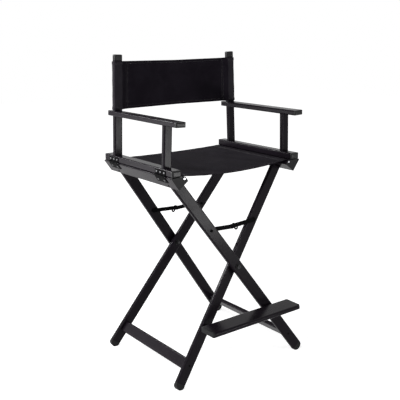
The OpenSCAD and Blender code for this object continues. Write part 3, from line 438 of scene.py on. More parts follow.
@dataclass(frozen=True)
class Steel:
    """Steel parts: black finished, or bare and more or less bright."""

    name: str
    dark: Colour
    pale: Colour
    metallic: float
    rough: float
    smudged: float = 0.16
    shine: float = 0.5
    grain_depth: float = 0.00004

    def make(self) -> bpy.types.Material:
        """Builds the material.

        Returns:
            The finished material.
        """
        coat = Coat(self.name)
        marks = coat.group("handling", Position=coat.position, Cloud_scale=60.0, Amount=0.9)
        smudge = marks.outputs["Smudge"]
        coat.feed("Base Color", coat.blend(self.dark, self.pale, smudge))
        coat.feed("Roughness", coat.ramp(smudge, self.rough, self.rough + self.smudged))
        coat.feed("Metallic", self.metallic)
        coat.feed("Specular IOR Level", self.shine)
        grain = coat.group("moulded", Position=coat.position, Cell_scale=2200.0)
        coat.bump(grain.outputs["Height"], 0.12, self.grain_depth)
        return coat.material


@dataclass(frozen=True)
class Canvas:
    """Black woven polyester canvas with a faint sheen."""

    name: str = "canvas"
    dark: Colour = (0.0030, 0.0023, 0.0038)
    pale: Colour = (0.0100, 0.0080, 0.0118)
    pitch: float = 0.0011
    shine: float = 0.02
    rough_low: float = 0.72
    rough_high: float = 0.92
    worn: Colour = (0.005, 0.0043, 0.0056)
    weave_depth: float = 0.00018

    def make(self) -> bpy.types.Material:
        """Builds the material on the piece's own UV map, which is in metres of cloth.

        Returns:
            The finished material.
        """
        coat = Coat(self.name)
        cloth = add_node(coat.tree, "UVMap", {"uv_map": "cloth"}).outputs[0]
        weave = coat.group("weave", Cloth=cloth, Pitch=self.pitch)
        marks = coat.group("handling", Position=coat.position, Cloud_scale=14.0, Amount=0.8)
        yarn = coat.blend(self.pale, self.dark, weave.outputs["Gap"])
        coat.feed("Base Color", coat.lighten(yarn, self.worn, marks.outputs["Smudge"]))
        coat.feed("Roughness", coat.ramp(weave.outputs["Yarn"], self.rough_low, self.rough_high))
        coat.feed("Sheen Weight", 0.02)
        coat.feed("Sheen Roughness", 0.45)
        coat.feed("Specular IOR Level", self.shine)
        coat.bump(weave.outputs["Height"], 0.55, self.weave_depth)
        return coat.material


@dataclass(frozen=True)
class Thread:
    """Twisted sewing thread: fine slanted bands across it."""

    name: str = "thread"
    dark: Colour = (0.012, 0.011, 0.013)
    pale: Colour = (0.035, 0.032, 0.037)
    twists: float = 900.0

    def make(self) -> bpy.types.Material:
        """Builds the material.

        Returns:
            The finished material.
        """
        coat = Coat(self.name)
        slanted = {"bands_direction": "DIAGONAL"}
        twist = add_node(
            coat.tree, "TexWave", slanted, Vector=coat.position, Scale=self.twists, Distortion=1.0
        ).outputs["Fac"]
        coat.feed("Base Color", coat.blend(self.dark, self.pale, twist))
        coat.feed("Roughness", 0.62)
        coat.feed("Sheen Weight", 0.2)
        coat.bump(twist, 0.4, 0.0001)
        return coat.material


# Meshes


@dataclass
class Surface:
    """A surface on a grid of rows and columns, as one array of points."""

    points: Array
    cloth: Array | None = None
    wrap: bool = False

    def quads(self, first: int) -> Array:
        """Quads that join four neighbours of the grid, and with wrap the last column to the first.

        Args:
            first: the index of the grid's first point in the mesh.

        Returns:
            Four indices for each quad, one quad a row.
        """
        rows, columns = self.points.shape[:2]
        index = first + np.arange(rows * columns).reshape(rows, columns)
        if self.wrap:
            index = np.concatenate([index, index[:, :1]], axis=1)
        corners = [index[:-1, :-1], index[:-1, 1:], index[1:, 1:], index[1:, :-1]]
        return np.stack(corners, axis=-1).reshape(-1, 4)


def shell(name: str, finish: bpy.types.Material, *grids: Surface) -> bpy.types.Object:
    """Puts one or more grids into a smooth mesh.

    Args:
        name: the object's name.
        finish: its material.
        *grids: the grids, which all have cloth coordinates or none has.

    Returns:
        The new object, at the origin.
    """
    counts = [grid.points.shape[0] * grid.points.shape[1] for grid in grids]
    starts = np.concatenate([[0], np.cumsum(counts)[:-1]])
    points = np.concatenate([grid.points.reshape(-1, 3) for grid in grids])
    quads = np.concatenate([grid.quads(int(start)) for grid, start in zip(grids, starts)])
    mesh = bpy.data.meshes.new(name)
    mesh.from_pydata(points.tolist(), [], quads.tolist())
    if grids[0].cloth is not None:
        cloth = np.concatenate([grid.cloth.reshape(-1, 2) for grid in grids])
        corner = np.zeros(len(mesh.loops), np.int32)
        mesh.loops.foreach_get("vertex_index", corner)
        layer = mesh.uv_layers.new(name="cloth")
        layer.data.foreach_set("uv", cloth[corner].astype(np.float32).ravel())
    mesh.shade_smooth()
    mesh.update()
    return put(name, mesh, finish)


def put(name: str, mesh: bpy.types.Mesh, finish: bpy.types.Material) -> bpy.types.Object:
    """Puts a mesh with its finish into the scene, at the origin.

    Args:
        name: the object's name.
        mesh: its mesh.
        finish: its material.

    Returns:
        The new object.
    """
    mesh.materials.append(finish)
    made = bpy.data.objects.new(name, mesh)
    bpy.context.scene.collection.objects.link(made)
    return made


def thicken(piece: bpy.types.Object, thickness: float) -> None:
    """Gives a sheet its thickness, half to each side, and applies it.

    Args:
        piece: the sheet.
        thickness: in metres.
    """
    solid = piece.modifiers.new("thickness", "SOLIDIFY")
    solid.thickness = thickness
    solid.offset = 0.0
    solid.use_even_offset = True
    bake(piece)


def bake(piece: bpy.types.Object) -> None:
    """Applies all of a piece's modifiers to its mesh.

    Args:
        piece: the piece, which has no modifiers afterwards.
    """
    graph = bpy.context.evaluated_depsgraph_get()
    shape = bpy.data.meshes.new_from_object(piece.evaluated_get(graph), depsgraph=graph)
    piece.modifiers.clear()
    piece.data = shape


def smoothstep(value: Array, low: float, high: float) -> Array:
    """The smooth step 3t^2 - 2t^3 of a value between two limits."""
    t = np.clip((value - low) / (high - low), 0.0, 1.0)
    return t * t * (3.0 - 2.0 * t)


def bell(value: Array, width: float) -> Array:
    """A bump that is one at zero: e to the power of minus the square of value / width."""
    return np.exp(-((value / width) ** 2))


@dataclass(frozen=True)
class Waves:
    """Small folds in cloth: a height in metres, and how fast they turn along and across.

    The turns are radians per unit of the place, the slant is radians per unit of the other place.
    """

    height: float
    turns: float
    slant: float = 0.0
    shift: float = 0.0

    def at(self, place: Array, other: Array | float = 0.0) -> Array:
        """Height of the folds: a sine of the place, shifted by the other place."""
        return self.height * np.sin(self.turns * place + self.slant * other + self.shift)


def stitches(
    name: str, thread: bpy.types.Material, rows: list[tuple[Array, Array]],
    pitch: float = 0.0042, radius: float = 0.00038,
) -> bpy.types.Object:
    """Rows of lockstitches, each along its own path.

    Each stitch is a short four-sided bar that dips into the cloth at both ends. Its middle line
    rises by 1.1 times, and its girth grows by 0.45 times, the sine of the way along the stitch.

    Args:
        name: the object's name.
        thread: the stitches' finish.
        rows: for each row its closely spaced points and the cloth's outward normal at each.
        pitch: from one stitch to the next.
        radius: of the thread.

    Returns:
        The object with all the stitches.
    """
    rings, sides = 4, 4
    sunk, rise, thin, swollen = 0.35, 1.1, 0.55, 0.45
    t = np.linspace(0.08, 0.92, rings)
    swell = np.sin(np.pi * t)
    angle = np.arange(sides) * 2 * np.pi / sides + np.pi / 4
    parts, quads, first = [], [], 0
    for path, normal in rows:
        steps = np.linalg.norm(np.diff(path, axis=0), axis=1)
        along = np.concatenate([[0.0], np.cumsum(steps)])
        count = int(along[-1] // pitch)
        at = (np.arange(count)[:, None] + t[None, :]) * pitch
        centre = np.stack([np.interp(at, along, path[:, k]) for k in range(3)], axis=-1)
        out = np.stack([np.interp(at, along, normal[:, k]) for k in range(3)], axis=-1)
        out /= np.linalg.norm(out, axis=-1, keepdims=True)
        ahead = centre[:, -1:] - centre[:, :1]
        ahead = ahead / np.linalg.norm(ahead, axis=-1, keepdims=True)
        side = np.cross(np.broadcast_to(ahead, centre.shape), out)
        centre = centre + out * (rise * swell - sunk)[None, :, None] * radius
        girth = (thin + swollen * swell)[None, :, None, None] * radius
        turn = np.cos(angle)[:, None] * side[:, :, None] + np.sin(angle)[:, None] * out[:, :, None]
        parts.append((centre[:, :, None] + girth * turn).reshape(-1, 3))
        index = first + np.arange(count * rings * sides).reshape(count, rings, sides)
        ahead_of = np.roll(index, -1, axis=2)
        walls = np.stack([index[:, :-1], ahead_of[:, :-1], ahead_of[:, 1:], index[:, 1:]], axis=-1)
        quads += [walls.reshape(-1, 4), index[:, 0, ::-1], index[:, -1]]
        first += count * rings * sides
    mesh = bpy.data.meshes.new(name)
    mesh.from_pydata(np.concatenate(parts).tolist(), [], np.concatenate(quads).tolist())
    mesh.shade_smooth()
    return put(name, mesh, thread)


def sewn(path: Array, out: Point, lift: float) -> tuple[Array, Array]:
    """A row for stitches on a face with one outward normal: the lifted path and the normals."""
    normal = np.broadcast_to(np.array(out, float), path.shape)
    return path + normal * lift, normal


# The chair


class Metalwork:
    """The CAD nodes that stay, each with the finish of the real piece."""

    def tubes(self) -> dict[str, Run]:
        """Lists the drawn tubes.

        Returns:
            The direction of the fine lines of each tube, by node.
        """
        runs = {
            "front_leg_outer": Run.LEG_OUTER_FRONT,
            "rear_leg_outer": Run.LEG_OUTER_REAR,
            "front_leg_inner": Run.LEG_INNER_FRONT,
            "rear_leg_inner": Run.LEG_INNER_REAR,
            "footrest_board": Run.WIDTH,
        }
        for side in ("left", "right"):
            for name in ("arm_rail", "armrest", "seat_rail", "stretcher"):
                runs[f"{name}_{side}"] = Run.DEPTH
            runs[f"front_post_{side}"] = Run["POST_" + side.upper()]
            runs[f"back_post_{side}"] = Run["BACK_POST_" + side.upper()]
        return runs

    def fittings(self) -> dict[str, bpy.types.Material]:
        """Picks a finish for each node by a word in its name, else by its slot.

        Returns:
            The material of each node, where a tube's is still to be replaced by its own.
        """
        plastic = Moulded().make()
        satin = Moulded("satin_plastic", rough=0.32, shine=0.16).make()
        black = Steel(
            "black_steel", (0.002, 0.002, 0.0023), (0.006, 0.0056, 0.0064), 0.0, 0.48, shine=0.012
        ).make()
        bright = Steel("bright_steel", (0.50, 0.50, 0.52), (0.66, 0.66, 0.68), 1.0, 0.26).make()
        dull = Steel("dull_steel", (0.10, 0.10, 0.105), (0.17, 0.17, 0.175), 0.85, 0.38).make()
        dusky = Steel(
            "dusky_steel", (0.018, 0.018, 0.019), (0.040, 0.039, 0.041), 0.9, 0.40
        ).make()
        by_slot = {"black_plastic": plastic, "black_steel": black, "bright_steel": bright}
        by_word = {
            "pivot_bolt": dusky, "pivot_nuts": dusky, "hinge_screws": dull,
            "arm_caps": satin, "post_cap": satin,
        }
        finishes = {}
        for subpart in frame["record"]["subparts"]:
            name = subpart["node"]
            finishes[name] = by_slot.get(subpart["material_slot"], plastic)
            for word, finish in by_word.items():
                if word in name:
                    finishes[name] = finish
        return finishes

    def dress(self) -> None:
        """Gives every CAD node that stays its finish."""
        finishes = self.fittings()
        runs = self.tubes()
        anodised = {run: Anodised(run).make() for run in dict.fromkeys(runs.values())}
        finishes |= {name: anodised[run] for name, run in runs.items()}
        for name, piece in frame["nodes"].items():
            piece.data.materials.clear()
            piece.data.materials.append(finishes[name])
            LOG.info("%s wears %s", name, finishes[name].name)


@dataclass
class SeatFabric:
    """The seat: one sheet from rod to rod that sags more at the front edge than at the back."""

    hem_r: float = 0.00375
    slit_out: float = 0.0029
    corner_in: float = 0.0028
    thickness: float = 0.0011
    bend_r: float = 0.0012
    slit_top: float = 0.0010
    rod_sine: float = 0.78
    rod_turns: float = -1.35
    front_sag: float = 0.0150
    middle_sag: float = 0.0125
    rear_sag: float = 0.0045
    edge_hem: float = 0.0140
    hem_rise: float = 0.0006
    hem_slope: float = 0.0012
    side_seam: float = 0.0200
    seam_dip: float = 0.0004
    seam_width: float = 0.0012
    row_off: float = 0.0030
    row_end: float = 0.0040
    hem_length: float = 0.0300
    creases: Waves = Waves(0.0007, 96.0, 14.0)
    ripples: Waves = Waves(0.0008, 31.0, 2.1)
    pulls: Waves = Waves(0.0006, 210.0, 9.0)
    flat_steps: int = 90
    columns: int = 241
    rows: int = 161

    def __post_init__(self) -> None:
        """Takes the places of the rod, the rail's top and the cloth's ends from the CAD nodes."""
        rod_low, rod_high = node_box("seat_rod_right")
        self.rod_x, _, self.rod_z = (rod_low + rod_high) / 2
        self.lift = float(node_box("arm_rail_right")[0][2])
        self.slit_x = self.rod_x + self.slit_out
        self.corner_x = self.rod_x - self.corner_in
        low, high = node_box("seat_fabric")
        self.front_y, self.rear_y = float(low[1]), float(high[1])
        self.along, self.way = self.profile()
        self.half = float(self.along[-1])

    def profile(self) -> tuple[Array, Array]:
        """The sheet's way from the middle out to the right rail, over its corner and down the slit.

        Its hem then runs clockwise round the rod, from the point where the sine is 0.78 over 1.35
        half turns past the outer side.

        Returns:
            Distance along the cloth from the middle, and x, z pairs of the unsagged way.
        """
        turn_x = self.slit_x - self.bend_r
        flat = np.linspace(0.0, self.corner_x, self.flat_steps)[:-1]
        over = np.linspace(self.corner_x, turn_x, 8)[:-1]
        bend = np.linspace(np.pi / 2, 0.0, 7)
        half_t = self.thickness / 2
        top = self.lift + half_t
        down_z = np.linspace(self.lift - self.slit_top, self.rod_z + self.hem_r, 6)
        turn = np.linspace(np.arcsin(self.rod_sine), self.rod_turns * np.pi, 26)
        x = np.concatenate([
            flat, over, turn_x + self.bend_r * np.cos(bend), np.full(6, self.slit_x),
            self.rod_x + self.hem_r * np.cos(turn),
        ])
        z = np.concatenate([
            np.full(len(flat) + len(over), top), top - self.bend_r * (1 - np.sin(bend)), down_z,
            self.rod_z + self.hem_r * np.sin(turn),
        ])
        way = np.stack([x, z], axis=-1)
        along = np.concatenate([[0.0], np.cumsum(np.linalg.norm(np.diff(way, axis=0), axis=1))])
        return along, way

    def shape(self, reach: Array, y: Array) -> Array:
        """Points of the sagging sheet.

        The sag is the front's value at the front edge, passes the middle's value and ends at the
        rear's, times one minus the square of the way from the middle to the rail. Shallow creases
        run in from the rails and die out, ripples cross the middle, and short pulls stand beside
        the rails. The hems at the front and rear edges stand a little higher, and the seams dip.

        Args:
            reach: distance along the cloth from the middle, negative to the left.
            y: place from front to back, of the same shape.

        Returns:
            The points, with x, y and z last.
        """
        side = np.sign(reach)
        x = side * np.interp(np.abs(reach), self.along, self.way[:, 0])
        z = np.interp(np.abs(reach), self.along, self.way[:, 1])
        back = (y - self.front_y) / (self.rear_y - self.front_y)
        to_middle, to_rear = smoothstep(back, 0.0, 0.45), smoothstep(back, 0.45, 1.0)
        sag = self.front_sag + (self.middle_sag - self.front_sag) * to_middle
        sag = sag + (self.rear_sag - self.middle_sag) * to_rear
        across = np.clip(np.abs(x) / self.corner_x, 0.0, 1.0)
        hang = np.where(np.abs(reach) < self.half - self.hem_length, 1.0 - across**2, 0.0)
        fade = smoothstep(across, 0.35, 0.8) * (1 - smoothstep(across, 0.9, 1.0))
        crease = self.creases.at(x, back * side) * fade
        ripple = self.ripples.at(x, back) * bell(back - 0.5, 0.35)
        pull = self.pulls.at(y, side) * smoothstep(across, 0.55, 0.97)
        edge = np.minimum(y - self.front_y, self.rear_y - y)
        hem = self.hem_rise * (1 - smoothstep(edge, self.edge_hem - self.hem_slope, self.edge_hem))
        seam = self.seam_dip * bell(np.abs(reach) - self.seam_reach(), self.seam_width)
        return np.stack([x, y, z + hang * (crease + ripple + pull - sag + hem - seam)], axis=-1)

    def seam_reach(self) -> float:
        """Distance along the cloth from the middle to the seam beside each rail."""
        flat = slice(self.flat_steps)
        return float(np.interp(self.corner_x, self.way[flat, 0], self.along[flat])) - self.side_seam

    def build(self, finish: bpy.types.Material, thread: bpy.types.Material) -> None:
        """Builds the sheet with its hems and stitches.

        Args:
            finish: the canvas.
            thread: the stitches' finish.
        """
        reach, y = np.meshgrid(
            np.linspace(-self.half, self.half, self.columns),
            self.front_y + (self.rear_y - self.front_y) * np.linspace(0.0, 1.0, self.rows),
        )
        surface = Surface(self.shape(reach, y), np.stack([reach, y], axis=-1))
        sheet = shell("seat_sheet", finish, surface)
        thicken(sheet, self.thickness)
        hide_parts("seat_fabric")
        rows = self.stitch_rows(thread)
        for piece in (sheet, *rows):
            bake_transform(piece)
        LOG.info("seat sheet: %.0f mm of cloth across", 2000 * self.half)

    def stitch_rows(self, thread: bpy.types.Material) -> list[bpy.types.Object]:
        """A seam beside each rail and a hem along the front and rear edges, sewn in rows.

        Args:
            thread: the stitches' finish.

        Returns:
            One object with the side seams and one with the hems.
        """
        seam, inset = self.seam_reach(), self.edge_hem - self.row_off
        y = np.linspace(self.front_y + self.row_end, self.rear_y - self.row_end, 200)
        end = seam + self.side_seam - self.row_end
        across = np.linspace(-end, end, 260)
        pairs = [side * seam + off for side in (-1, 1) for off in (-self.row_off, self.row_off)]
        edges = (self.front_y + inset, self.rear_y - inset)
        seams = [self.row(np.full_like(y, at), y) for at in pairs]
        hems = [self.row(across, np.full_like(across, at)) for at in edges]
        return [
            stitches("seat_seam_stitches", thread, seams),
            stitches("seat_hem_stitches", thread, hems),
        ]

    def row(self, reach: Array, y: Array) -> tuple[Array, Array]:
        """A row for stitches on the sheet's upper face, as points and normals."""
        return sewn(self.shape(reach, y), UP, self.thickness / 2)


@dataclass
class BackFabric:
    """The backrest: a doubled panel, and at each end a sleeve that slides over a leaning post."""

    post_w: float = 0.0340
    post_d: float = 0.0165
    post_corner: float = 0.0050
    lean: float = math.radians(2.1)
    tilt: float = math.radians(0.7)
    loose: float = 0.0004
    thickness: float = 0.0011
    seam_inset: float = 0.0390
    layer_y: float = 0.0006
    hem: float = 0.0110
    hem_rise: float = 0.0005
    hem_slope: float = 0.0010
    hem_row: float = 0.0020
    hem_depth: float = 1.09
    hem_reach: float = 0.86
    row_end: float = 0.0030
    seam_row: float = 0.0035
    bulge: float = 0.00022
    upper_folds: Waves = Waves(0.0011, 26.0, 5.0, 0.6)
    lower_folds: Waves = Waves(0.000385, 61.0, -7.0)
    seam_folds: Waves = Waves(0.00022, 410.0, 30.0)
    fold_fade: float = 0.0500
    seam_fade: float = 0.0120
    puckers: Waves = Waves(0.00018, 900.0)
    pucker_depth: float = 0.00045
    pucker_width: float = 0.0016
    bow: float = 0.0020
    dip: float = 0.0024
    folded_width: float = 0.0246
    stitch_share: float = 0.9
    rows: int = 101

    def __post_init__(self) -> None:
        """Takes the post's foot and the cloth's edges from the CAD nodes."""
        low, high = node_box("back_post_right")
        self.foot_x = float(high[0]) - self.post_w / 2
        self.foot_y = float(low[1]) + self.post_d / 2
        self.foot_z = float(low[2])
        low, high = node_box("back_fabric")
        self.low_z, self.high_z = float(low[2]), float(high[2])
        self.half_w = self.post_w / 2 + self.loose + self.thickness / 2
        self.half_d = self.post_d / 2 + self.loose + self.thickness / 2
        self.corner = self.post_corner + self.loose + self.thickness / 2

    def post_x(self, z: Array) -> Array:
        """Distance from the chair's middle to a post's middle: less by the lean with the height."""
        return self.foot_x - (z - self.foot_z) * math.tan(self.lean)

    def post_y(self, z: Array) -> Array:
        """Place of a post's middle from front to back, which moves back with the tilt."""
        return self.foot_y + (z - self.foot_z) * math.tan(self.tilt)

    def section(self) -> Array:
        """The sleeve's closed section round the post: straight sides joined by four arcs.

        Returns:
            Points x, y about the post's middle, counter-clockwise from the outer side.
        """
        r = self.corner
        corners = []
        for k, (cx, cy) in enumerate(((1, 1), (-1, 1), (-1, -1), (1, -1))):
            turn = (k + np.linspace(0.0, 1.0, 9)) * np.pi / 2
            centre = np.array([cx * (self.half_w - r), cy * (self.half_d - r)])
            corners.append(centre + r * np.stack([np.cos(turn), np.sin(turn)], axis=-1))
        ends = np.vstack(corners)
        loop = np.vstack([ends, ends[:1]])
        steps = np.linalg.norm(np.diff(loop, axis=0), axis=1)
        step = np.concatenate([[0.0], np.cumsum(steps)])
        even = np.linspace(0.0, step[-1], 97)[:-1]
        return np.stack([np.interp(even, step, loop[:, k]) for k in (0, 1)], axis=-1)

    def sleeve(self, side: int, finish: bpy.types.Material, thread: bpy.types.Material) -> None:
        """Builds one sleeve with its hems, which rides on its arm.

        The section follows the post up. Slight bulges, a product of a wave round the post and one
        up it, make it lie like cloth, and both hems flare by half a millimetre.

        Args:
            side: -1 for the left, 1 for the right.
            finish: the canvas.
            thread: the stitches' finish.
        """
        name = "left" if side < 0 else "right"
        section = self.section()
        z = self.low_z + (self.high_z - self.low_z) * np.linspace(0.0, 1.0, self.rows)[:, None]
        turn = np.arctan2(section[:, 1], section[:, 0])[None, :]
        bulge = self.bulge * (1 + np.sin(3 * turn + 40 * z) * np.sin(70 * z + side))
        grow = 1 + (bulge + self.edge_rise(z)) / self.half_d
        x = side * (self.post_x(z) + section[None, :, 0] * grow)
        y = self.post_y(z) + section[None, :, 1] * grow
        around = np.linspace(0.0, 1.0, len(section), endpoint=False)[None, :] * self.girth(section)
        cloth = np.stack(np.broadcast_arrays(around, z), axis=-1)
        points = np.stack(np.broadcast_arrays(x, y, z), axis=-1)
        if side < 0:
            points, cloth = points[:, ::-1], cloth[:, ::-1]
        made = shell("back_sleeve_" + name, finish, Surface(points, cloth, wrap=True))
        thicken(made, self.thickness)
        paths = [self.sleeve_row(side, section, at) for at in self.hem_rows()]
        rows = stitches("sleeve_stitches_" + name, thread, paths)
        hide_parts("back_fabric")
        self.girth(section)
        body = Frame.ARM_LEFT if side < 0 else Frame.ARM_RIGHT
        for piece in (made, rows):
            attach(piece, body.value)
        LOG.info("sleeve %s: %.0f mm of cloth round the post", name, 1000 * self.girth(section))

    def edge_rise(self, z: Array) -> Array:
        """How much thicker the cloth is in the hems along its lower and upper edge."""
        edge = np.minimum(z - self.low_z, self.high_z - z)
        return self.hem_rise * (1 - smoothstep(edge, self.hem - self.hem_slope, self.hem))

    def hem_rows(self) -> tuple[float, float]:
        """Heights of the rows of stitches along the lower and the upper hem."""
        inset = self.hem - self.hem_row
        return self.low_z + inset, self.high_z - inset

    def girth(self, section: Array) -> float:
        """Length of cloth round a post."""
        return float(np.linalg.norm(np.diff(section, axis=0, append=section[:1]), axis=1).sum())

    def sleeve_row(self, side: int, section: Array, z: float) -> tuple[Array, Array]:
        """A row for stitches across a sleeve's front.

        The hem stands out there, so the row lies at 1.09 times the section's depth.

        Args:
            side: -1 for the left, 1 for the right.
            section: the sleeve's section round the post.
            z: the row's height.

        Returns:
            The row's points and normals.
        """
        front = section[section[:, 1] < self.corner - self.half_d]
        front = front[np.argsort(front[:, 0])]
        path = np.stack([
            side * (self.post_x(z) + front[:, 0]),
            self.post_y(z) + front[:, 1] * self.hem_depth,
            np.full(len(front), z),
        ], axis=-1)
        return sewn(path, (0.0, -1.0, 0.0), self.thickness / 2 + 0.0001)

    def layer(self, face: int, across: Array, z: Array) -> Array:
        """Points of one layer of the panel.

        Across goes from -1 to 1 between the posts. Up to the seam the layer lies flat against the
        other one. From the seam it widens on a smooth step to the front or rear of the sleeve.
        Tension folds are two families of slanted waves, one that grows with the height and one
        that fades with it. Both fade over the last 50 mm before the seams, and each seam puckers
        in short waves up the height. The panel bows to the rear, and its upper edge dips in the
        middle while its lower edge rises.

        Args:
            face: -1 for the front layer, 1 for the rear one.
            across: place between the posts, from -1 to 1.
            z: height, of the same shape.

        Returns:
            The points, with x, y and z last.
        """
        up = (z - self.low_z) / (self.high_z - self.low_z)
        meet = self.post_x(z) - self.half_w + self.corner
        seam = self.post_x(z) - self.seam_inset
        x = across * meet
        lift = smoothstep(np.abs(x), seam, meet)
        gap = self.layer_y + (self.half_d - self.layer_y) * lift
        inside = 1 - smoothstep(np.abs(x), seam - self.fold_fade, seam)
        first = self.upper_folds.at(x, up) * (0.25 + 0.75 * up)
        second = self.lower_folds.at(x, up) * (1 - up)
        bow = self.bow * np.cos(np.pi * x / (2 * seam)) * (0.3 + 0.7 * up)
        beside = np.abs(x) - seam
        pucker = bell(beside, self.pucker_width) * (self.pucker_depth + self.puckers.at(z))
        wide = self.seam_folds.at(z, np.abs(x)) * np.exp(-np.abs(beside) / self.seam_fade)
        hem = self.edge_rise(z) * (1 - lift)
        y = self.post_y(z) + face * (gap + hem - pucker) + inside * (first + second + bow) + wide
        dip = self.dip * (1 - np.abs(across)) * (2 * up - 1)
        return np.stack([x, y, z - dip], axis=-1)

    def panel(self, finish: bpy.types.Material, thread: bpy.types.Material) -> None:
        """Builds both layers of the panel, which ride on the right arm.

        The grid is finer from near the seams outwards. The rear layer's cloth is the same, moved
        on the UV map so that the two layers don't show the same weave.

        Args:
            finish: the canvas.
            thread: the stitches' finish.
        """
        meet = float(self.post_x(np.array(self.low_z))) - self.half_w + self.corner
        near_seam, rear_cloth = 0.88, 0.9
        inner, outer = np.linspace(0.0, near_seam, 78), np.linspace(near_seam, 1.0, 28)
        spread = np.concatenate([inner[:-1], outer])
        spread = np.concatenate([-spread[::-1], spread[1:]])
        height = np.linspace(self.low_z, self.high_z, self.rows)
        across, z = np.meshgrid(spread, height)
        cloth = np.stack([across * meet, z], axis=-1)
        front = Surface(self.layer(-1, across, z), cloth)
        rear = Surface(self.layer(1, across, z)[:, ::-1], cloth[:, ::-1] + rear_cloth)
        made = shell("back_panel", finish, front, rear)
        thicken(made, self.thickness)
        rows = stitches("back_panel_stitches", thread, self.panel_rows())
        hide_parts("back_fabric")
        for piece, share in ((made, 1.0), (rows, self.stitch_share)):
            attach(piece, Frame.ARM_RIGHT.value)
            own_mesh(piece)
        LOG.info("back panel: %.0f mm between the posts, two layers", 2000 * meet)

    def panel_rows(self) -> list[tuple[Array, Array]]:
        """Two rows beside each seam, and one along each hem, on both faces.

        Returns:
            The points and normals of each row.
        """
        rows = []
        z = np.linspace(self.low_z + self.row_end, self.high_z - self.row_end, 160)
        wide = np.linspace(-self.hem_reach, self.hem_reach, 300)
        for face in (-1, 1):
            for side in (-1, 1):
                for off in (-self.seam_row, self.seam_row):
                    meet = self.post_x(z) - self.half_w + self.corner
                    at = side * (self.post_x(z) - self.seam_inset + off) / meet
                    rows.append(self.face_row(face, at, z))
            for at in self.hem_rows():
                rows.append(self.face_row(face, wide, np.full_like(wide, at)))
        return rows

    def face_row(self, face: int, across: Array, z: Array) -> tuple[Array, Array]:
        """A row for stitches on one face of the panel, as points and normals."""
        return sewn(self.layer(face, across, z), (0.0, face, 0.0), self.thickness / 2)

    def build(
        self, finish: bpy.types.Material, taut: bpy.types.Material, thread: bpy.types.Material
    ) -> None:
        """Builds both sleeves and the panel.

        Args:
            finish: the panel's canvas.
            taut: the same cloth, smooth and shinier where it is pulled round the posts.
            thread: the stitches' finish.
        """
        for side in (-1, 1):
            self.sleeve(side, taut, thread)
        self.panel(finish, thread)


# The studio


def aim(data: bpy.types.ID, place: Point, ahead: Vector) -> bpy.types.Object:
    """Puts a lamp or a camera into the scene.

    Args:
        data: the lamp's or the camera's data.
        place: where it stands.
        ahead: the direction in which it looks.

    Returns:
        The new object.
    """
    made = bpy.data.objects.new(data.name, data)
    made.location = place
    made.rotation_mode = "QUATERNION"
    made.rotation_quaternion = ahead.to_track_quat("-Z", "Y")
    bpy.context.scene.collection.objects.link(made)
    return made


@dataclass(frozen=True)
class Lamp:
    """A soft square lamp that faces the chair."""

    name: str
    place: Point
    size: float
    power: float

    def hang(self) -> None:
        """Adds the lamp, turned to the middle of the chair."""
        data = bpy.data.lights.new(self.name, "AREA")
        data.size = self.size
        data.energy = self.power
        aim(data, self.place, Vector(MIDDLE) - Vector(self.place))


LAMPS = (
    Lamp("left", (-3.4, 0.2, 1.2), 0.8, 90.0),
    Lamp("left_front_high", (-1.8, -1.2, 2.6), 0.35, 26.0),
    Lamp("left_low", (-2.6, 1.2, 0.35), 0.9, 17.0),
    Lamp("left_rear", (-1.7, 1.7, 0.5), 0.7, 7.5),
    Lamp("left_rear_high", (-1.8, 2.45, 2.1), 0.4, 50.0),
    Lamp("post_front", (1.0, -2.0, 0.42), 0.45, 16.0),
    Lamp("top", (0.2, 0.4, 3.4), 1.8, 5.0),
)


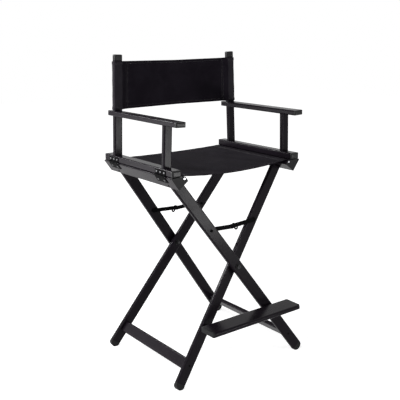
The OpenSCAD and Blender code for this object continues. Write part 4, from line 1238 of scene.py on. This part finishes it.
@dataclass
class Studio:
    """Pale floor, soft lights and the camera at the photograph's angle."""

    position: Point = (-1.5742, -1.97435, 1.2455)
    ahead: Point = (0.5945, 0.7663, -0.2435)
    lens: float = 62.1
    shift: float = 0.002
    ambient: float = 0.10
    floor_half: float = 9.0
    near: float = 0.8
    far: float = 2.6
    glow_near: float = 0.70
    glow_far: float = 1.0

    def camera(self) -> None:
        """Makes the camera from the fitted position and direction."""
        data = bpy.data.cameras.new("camera")
        data.lens = self.lens
        data.sensor_width = 36.0
        data.shift_x = self.shift
        data.clip_end = 50.0
        bpy.context.scene.camera = aim(data, self.position, Vector(self.ahead))

    def seen(self, tree: bpy.types.NodeTree) -> bpy.types.NodeSocket:
        """One for the camera's rays and for what metal or glass shows, else zero.

        Args:
            tree: the floor's or the world's tree.

        Returns:
            The value's socket.
        """
        larger = {"operation": "MAXIMUM"}
        path = add_node(tree, "LightPath").outputs
        both = add_node(
            tree, "Math", larger, i0=path["Is Camera Ray"], i1=path["Is Glossy Ray"]
        ).outputs[0]
        return add_node(tree, "Math", larger, i0=both, i1=path["Is Transmission Ray"]).outputs[0]

    def floor(self) -> None:
        """Builds a wide floor, which is white to the camera, and a little darker by the chair."""
        coat = Coat("floor")
        coat.feed("Base Color", (0.80, 0.80, 0.80, 1.0))
        coat.feed("Roughness", 0.9)
        coat.feed("Specular IOR Level", 0.0)
        coat.feed("Emission Color", (1.0, 1.0, 1.0, 1.0))
        tree = coat.tree
        away = add_node(tree, "VectorMath", {"operation": "LENGTH"}, i0=coat.position).outputs["Value"]
        glow = add_node(
            tree, "MapRange", {"interpolation_type": "SMOOTHSTEP"}, Value=away,
            From_Min=self.near, From_Max=self.far, To_Min=self.glow_near, To_Max=self.glow_far,
        ).outputs[0]
        seen = self.seen(tree)
        strength = add_node(tree, "Math", {"operation": "MULTIPLY"}, i0=seen, i1=glow).outputs[0]
        coat.feed("Emission Strength", strength)
        ends = np.linspace(-self.floor_half, self.floor_half, 3)
        grid = np.stack(np.meshgrid(ends, ends), axis=-1)
        made = Surface(np.concatenate([grid, np.zeros((3, 3, 1))], axis=-1))
        shell("floor", coat.material, made)

    def sky(self) -> None:
        """Builds a world that is white to the camera and to reflections, and dimmer as light."""
        world = bpy.data.worlds.new("studio")
        world.use_nodes = True
        bpy.context.scene.world = world
        tree = world.node_tree
        back = next(n for n in tree.nodes if n.type == "BACKGROUND")
        level = add_node(tree, "MapRange", {}, Value=self.seen(tree), To_Min=self.ambient, To_Max=1.0)
        back.inputs["Color"].default_value = (1.0, 1.0, 1.0, 1.0)
        tree.links.new(level.outputs[0], back.inputs["Strength"])

    def build(self) -> None:
        """Builds the camera, lamps, floor and backdrop."""
        bpy.context.scene.view_settings.view_transform = "Standard"
        self.camera()
        self.floor()
        self.sky()
        for lamp in LAMPS:
            lamp.hang()


def main() -> None:
    """Builds the studio and dresses the chair."""
    logging.basicConfig(level=logging.INFO, format="%(message)s")
    Studio().build()
    Metalwork().dress()
    canvas, thread = Canvas().make(), Thread().make()
    taut = Canvas("taut_canvas", shine=0.07, rough_low=0.42, rough_high=0.55).make()
    SeatFabric().build(canvas, thread)
    BackFabric().build(canvas, taut, thread)


if __name__ == "__main__":
    main()
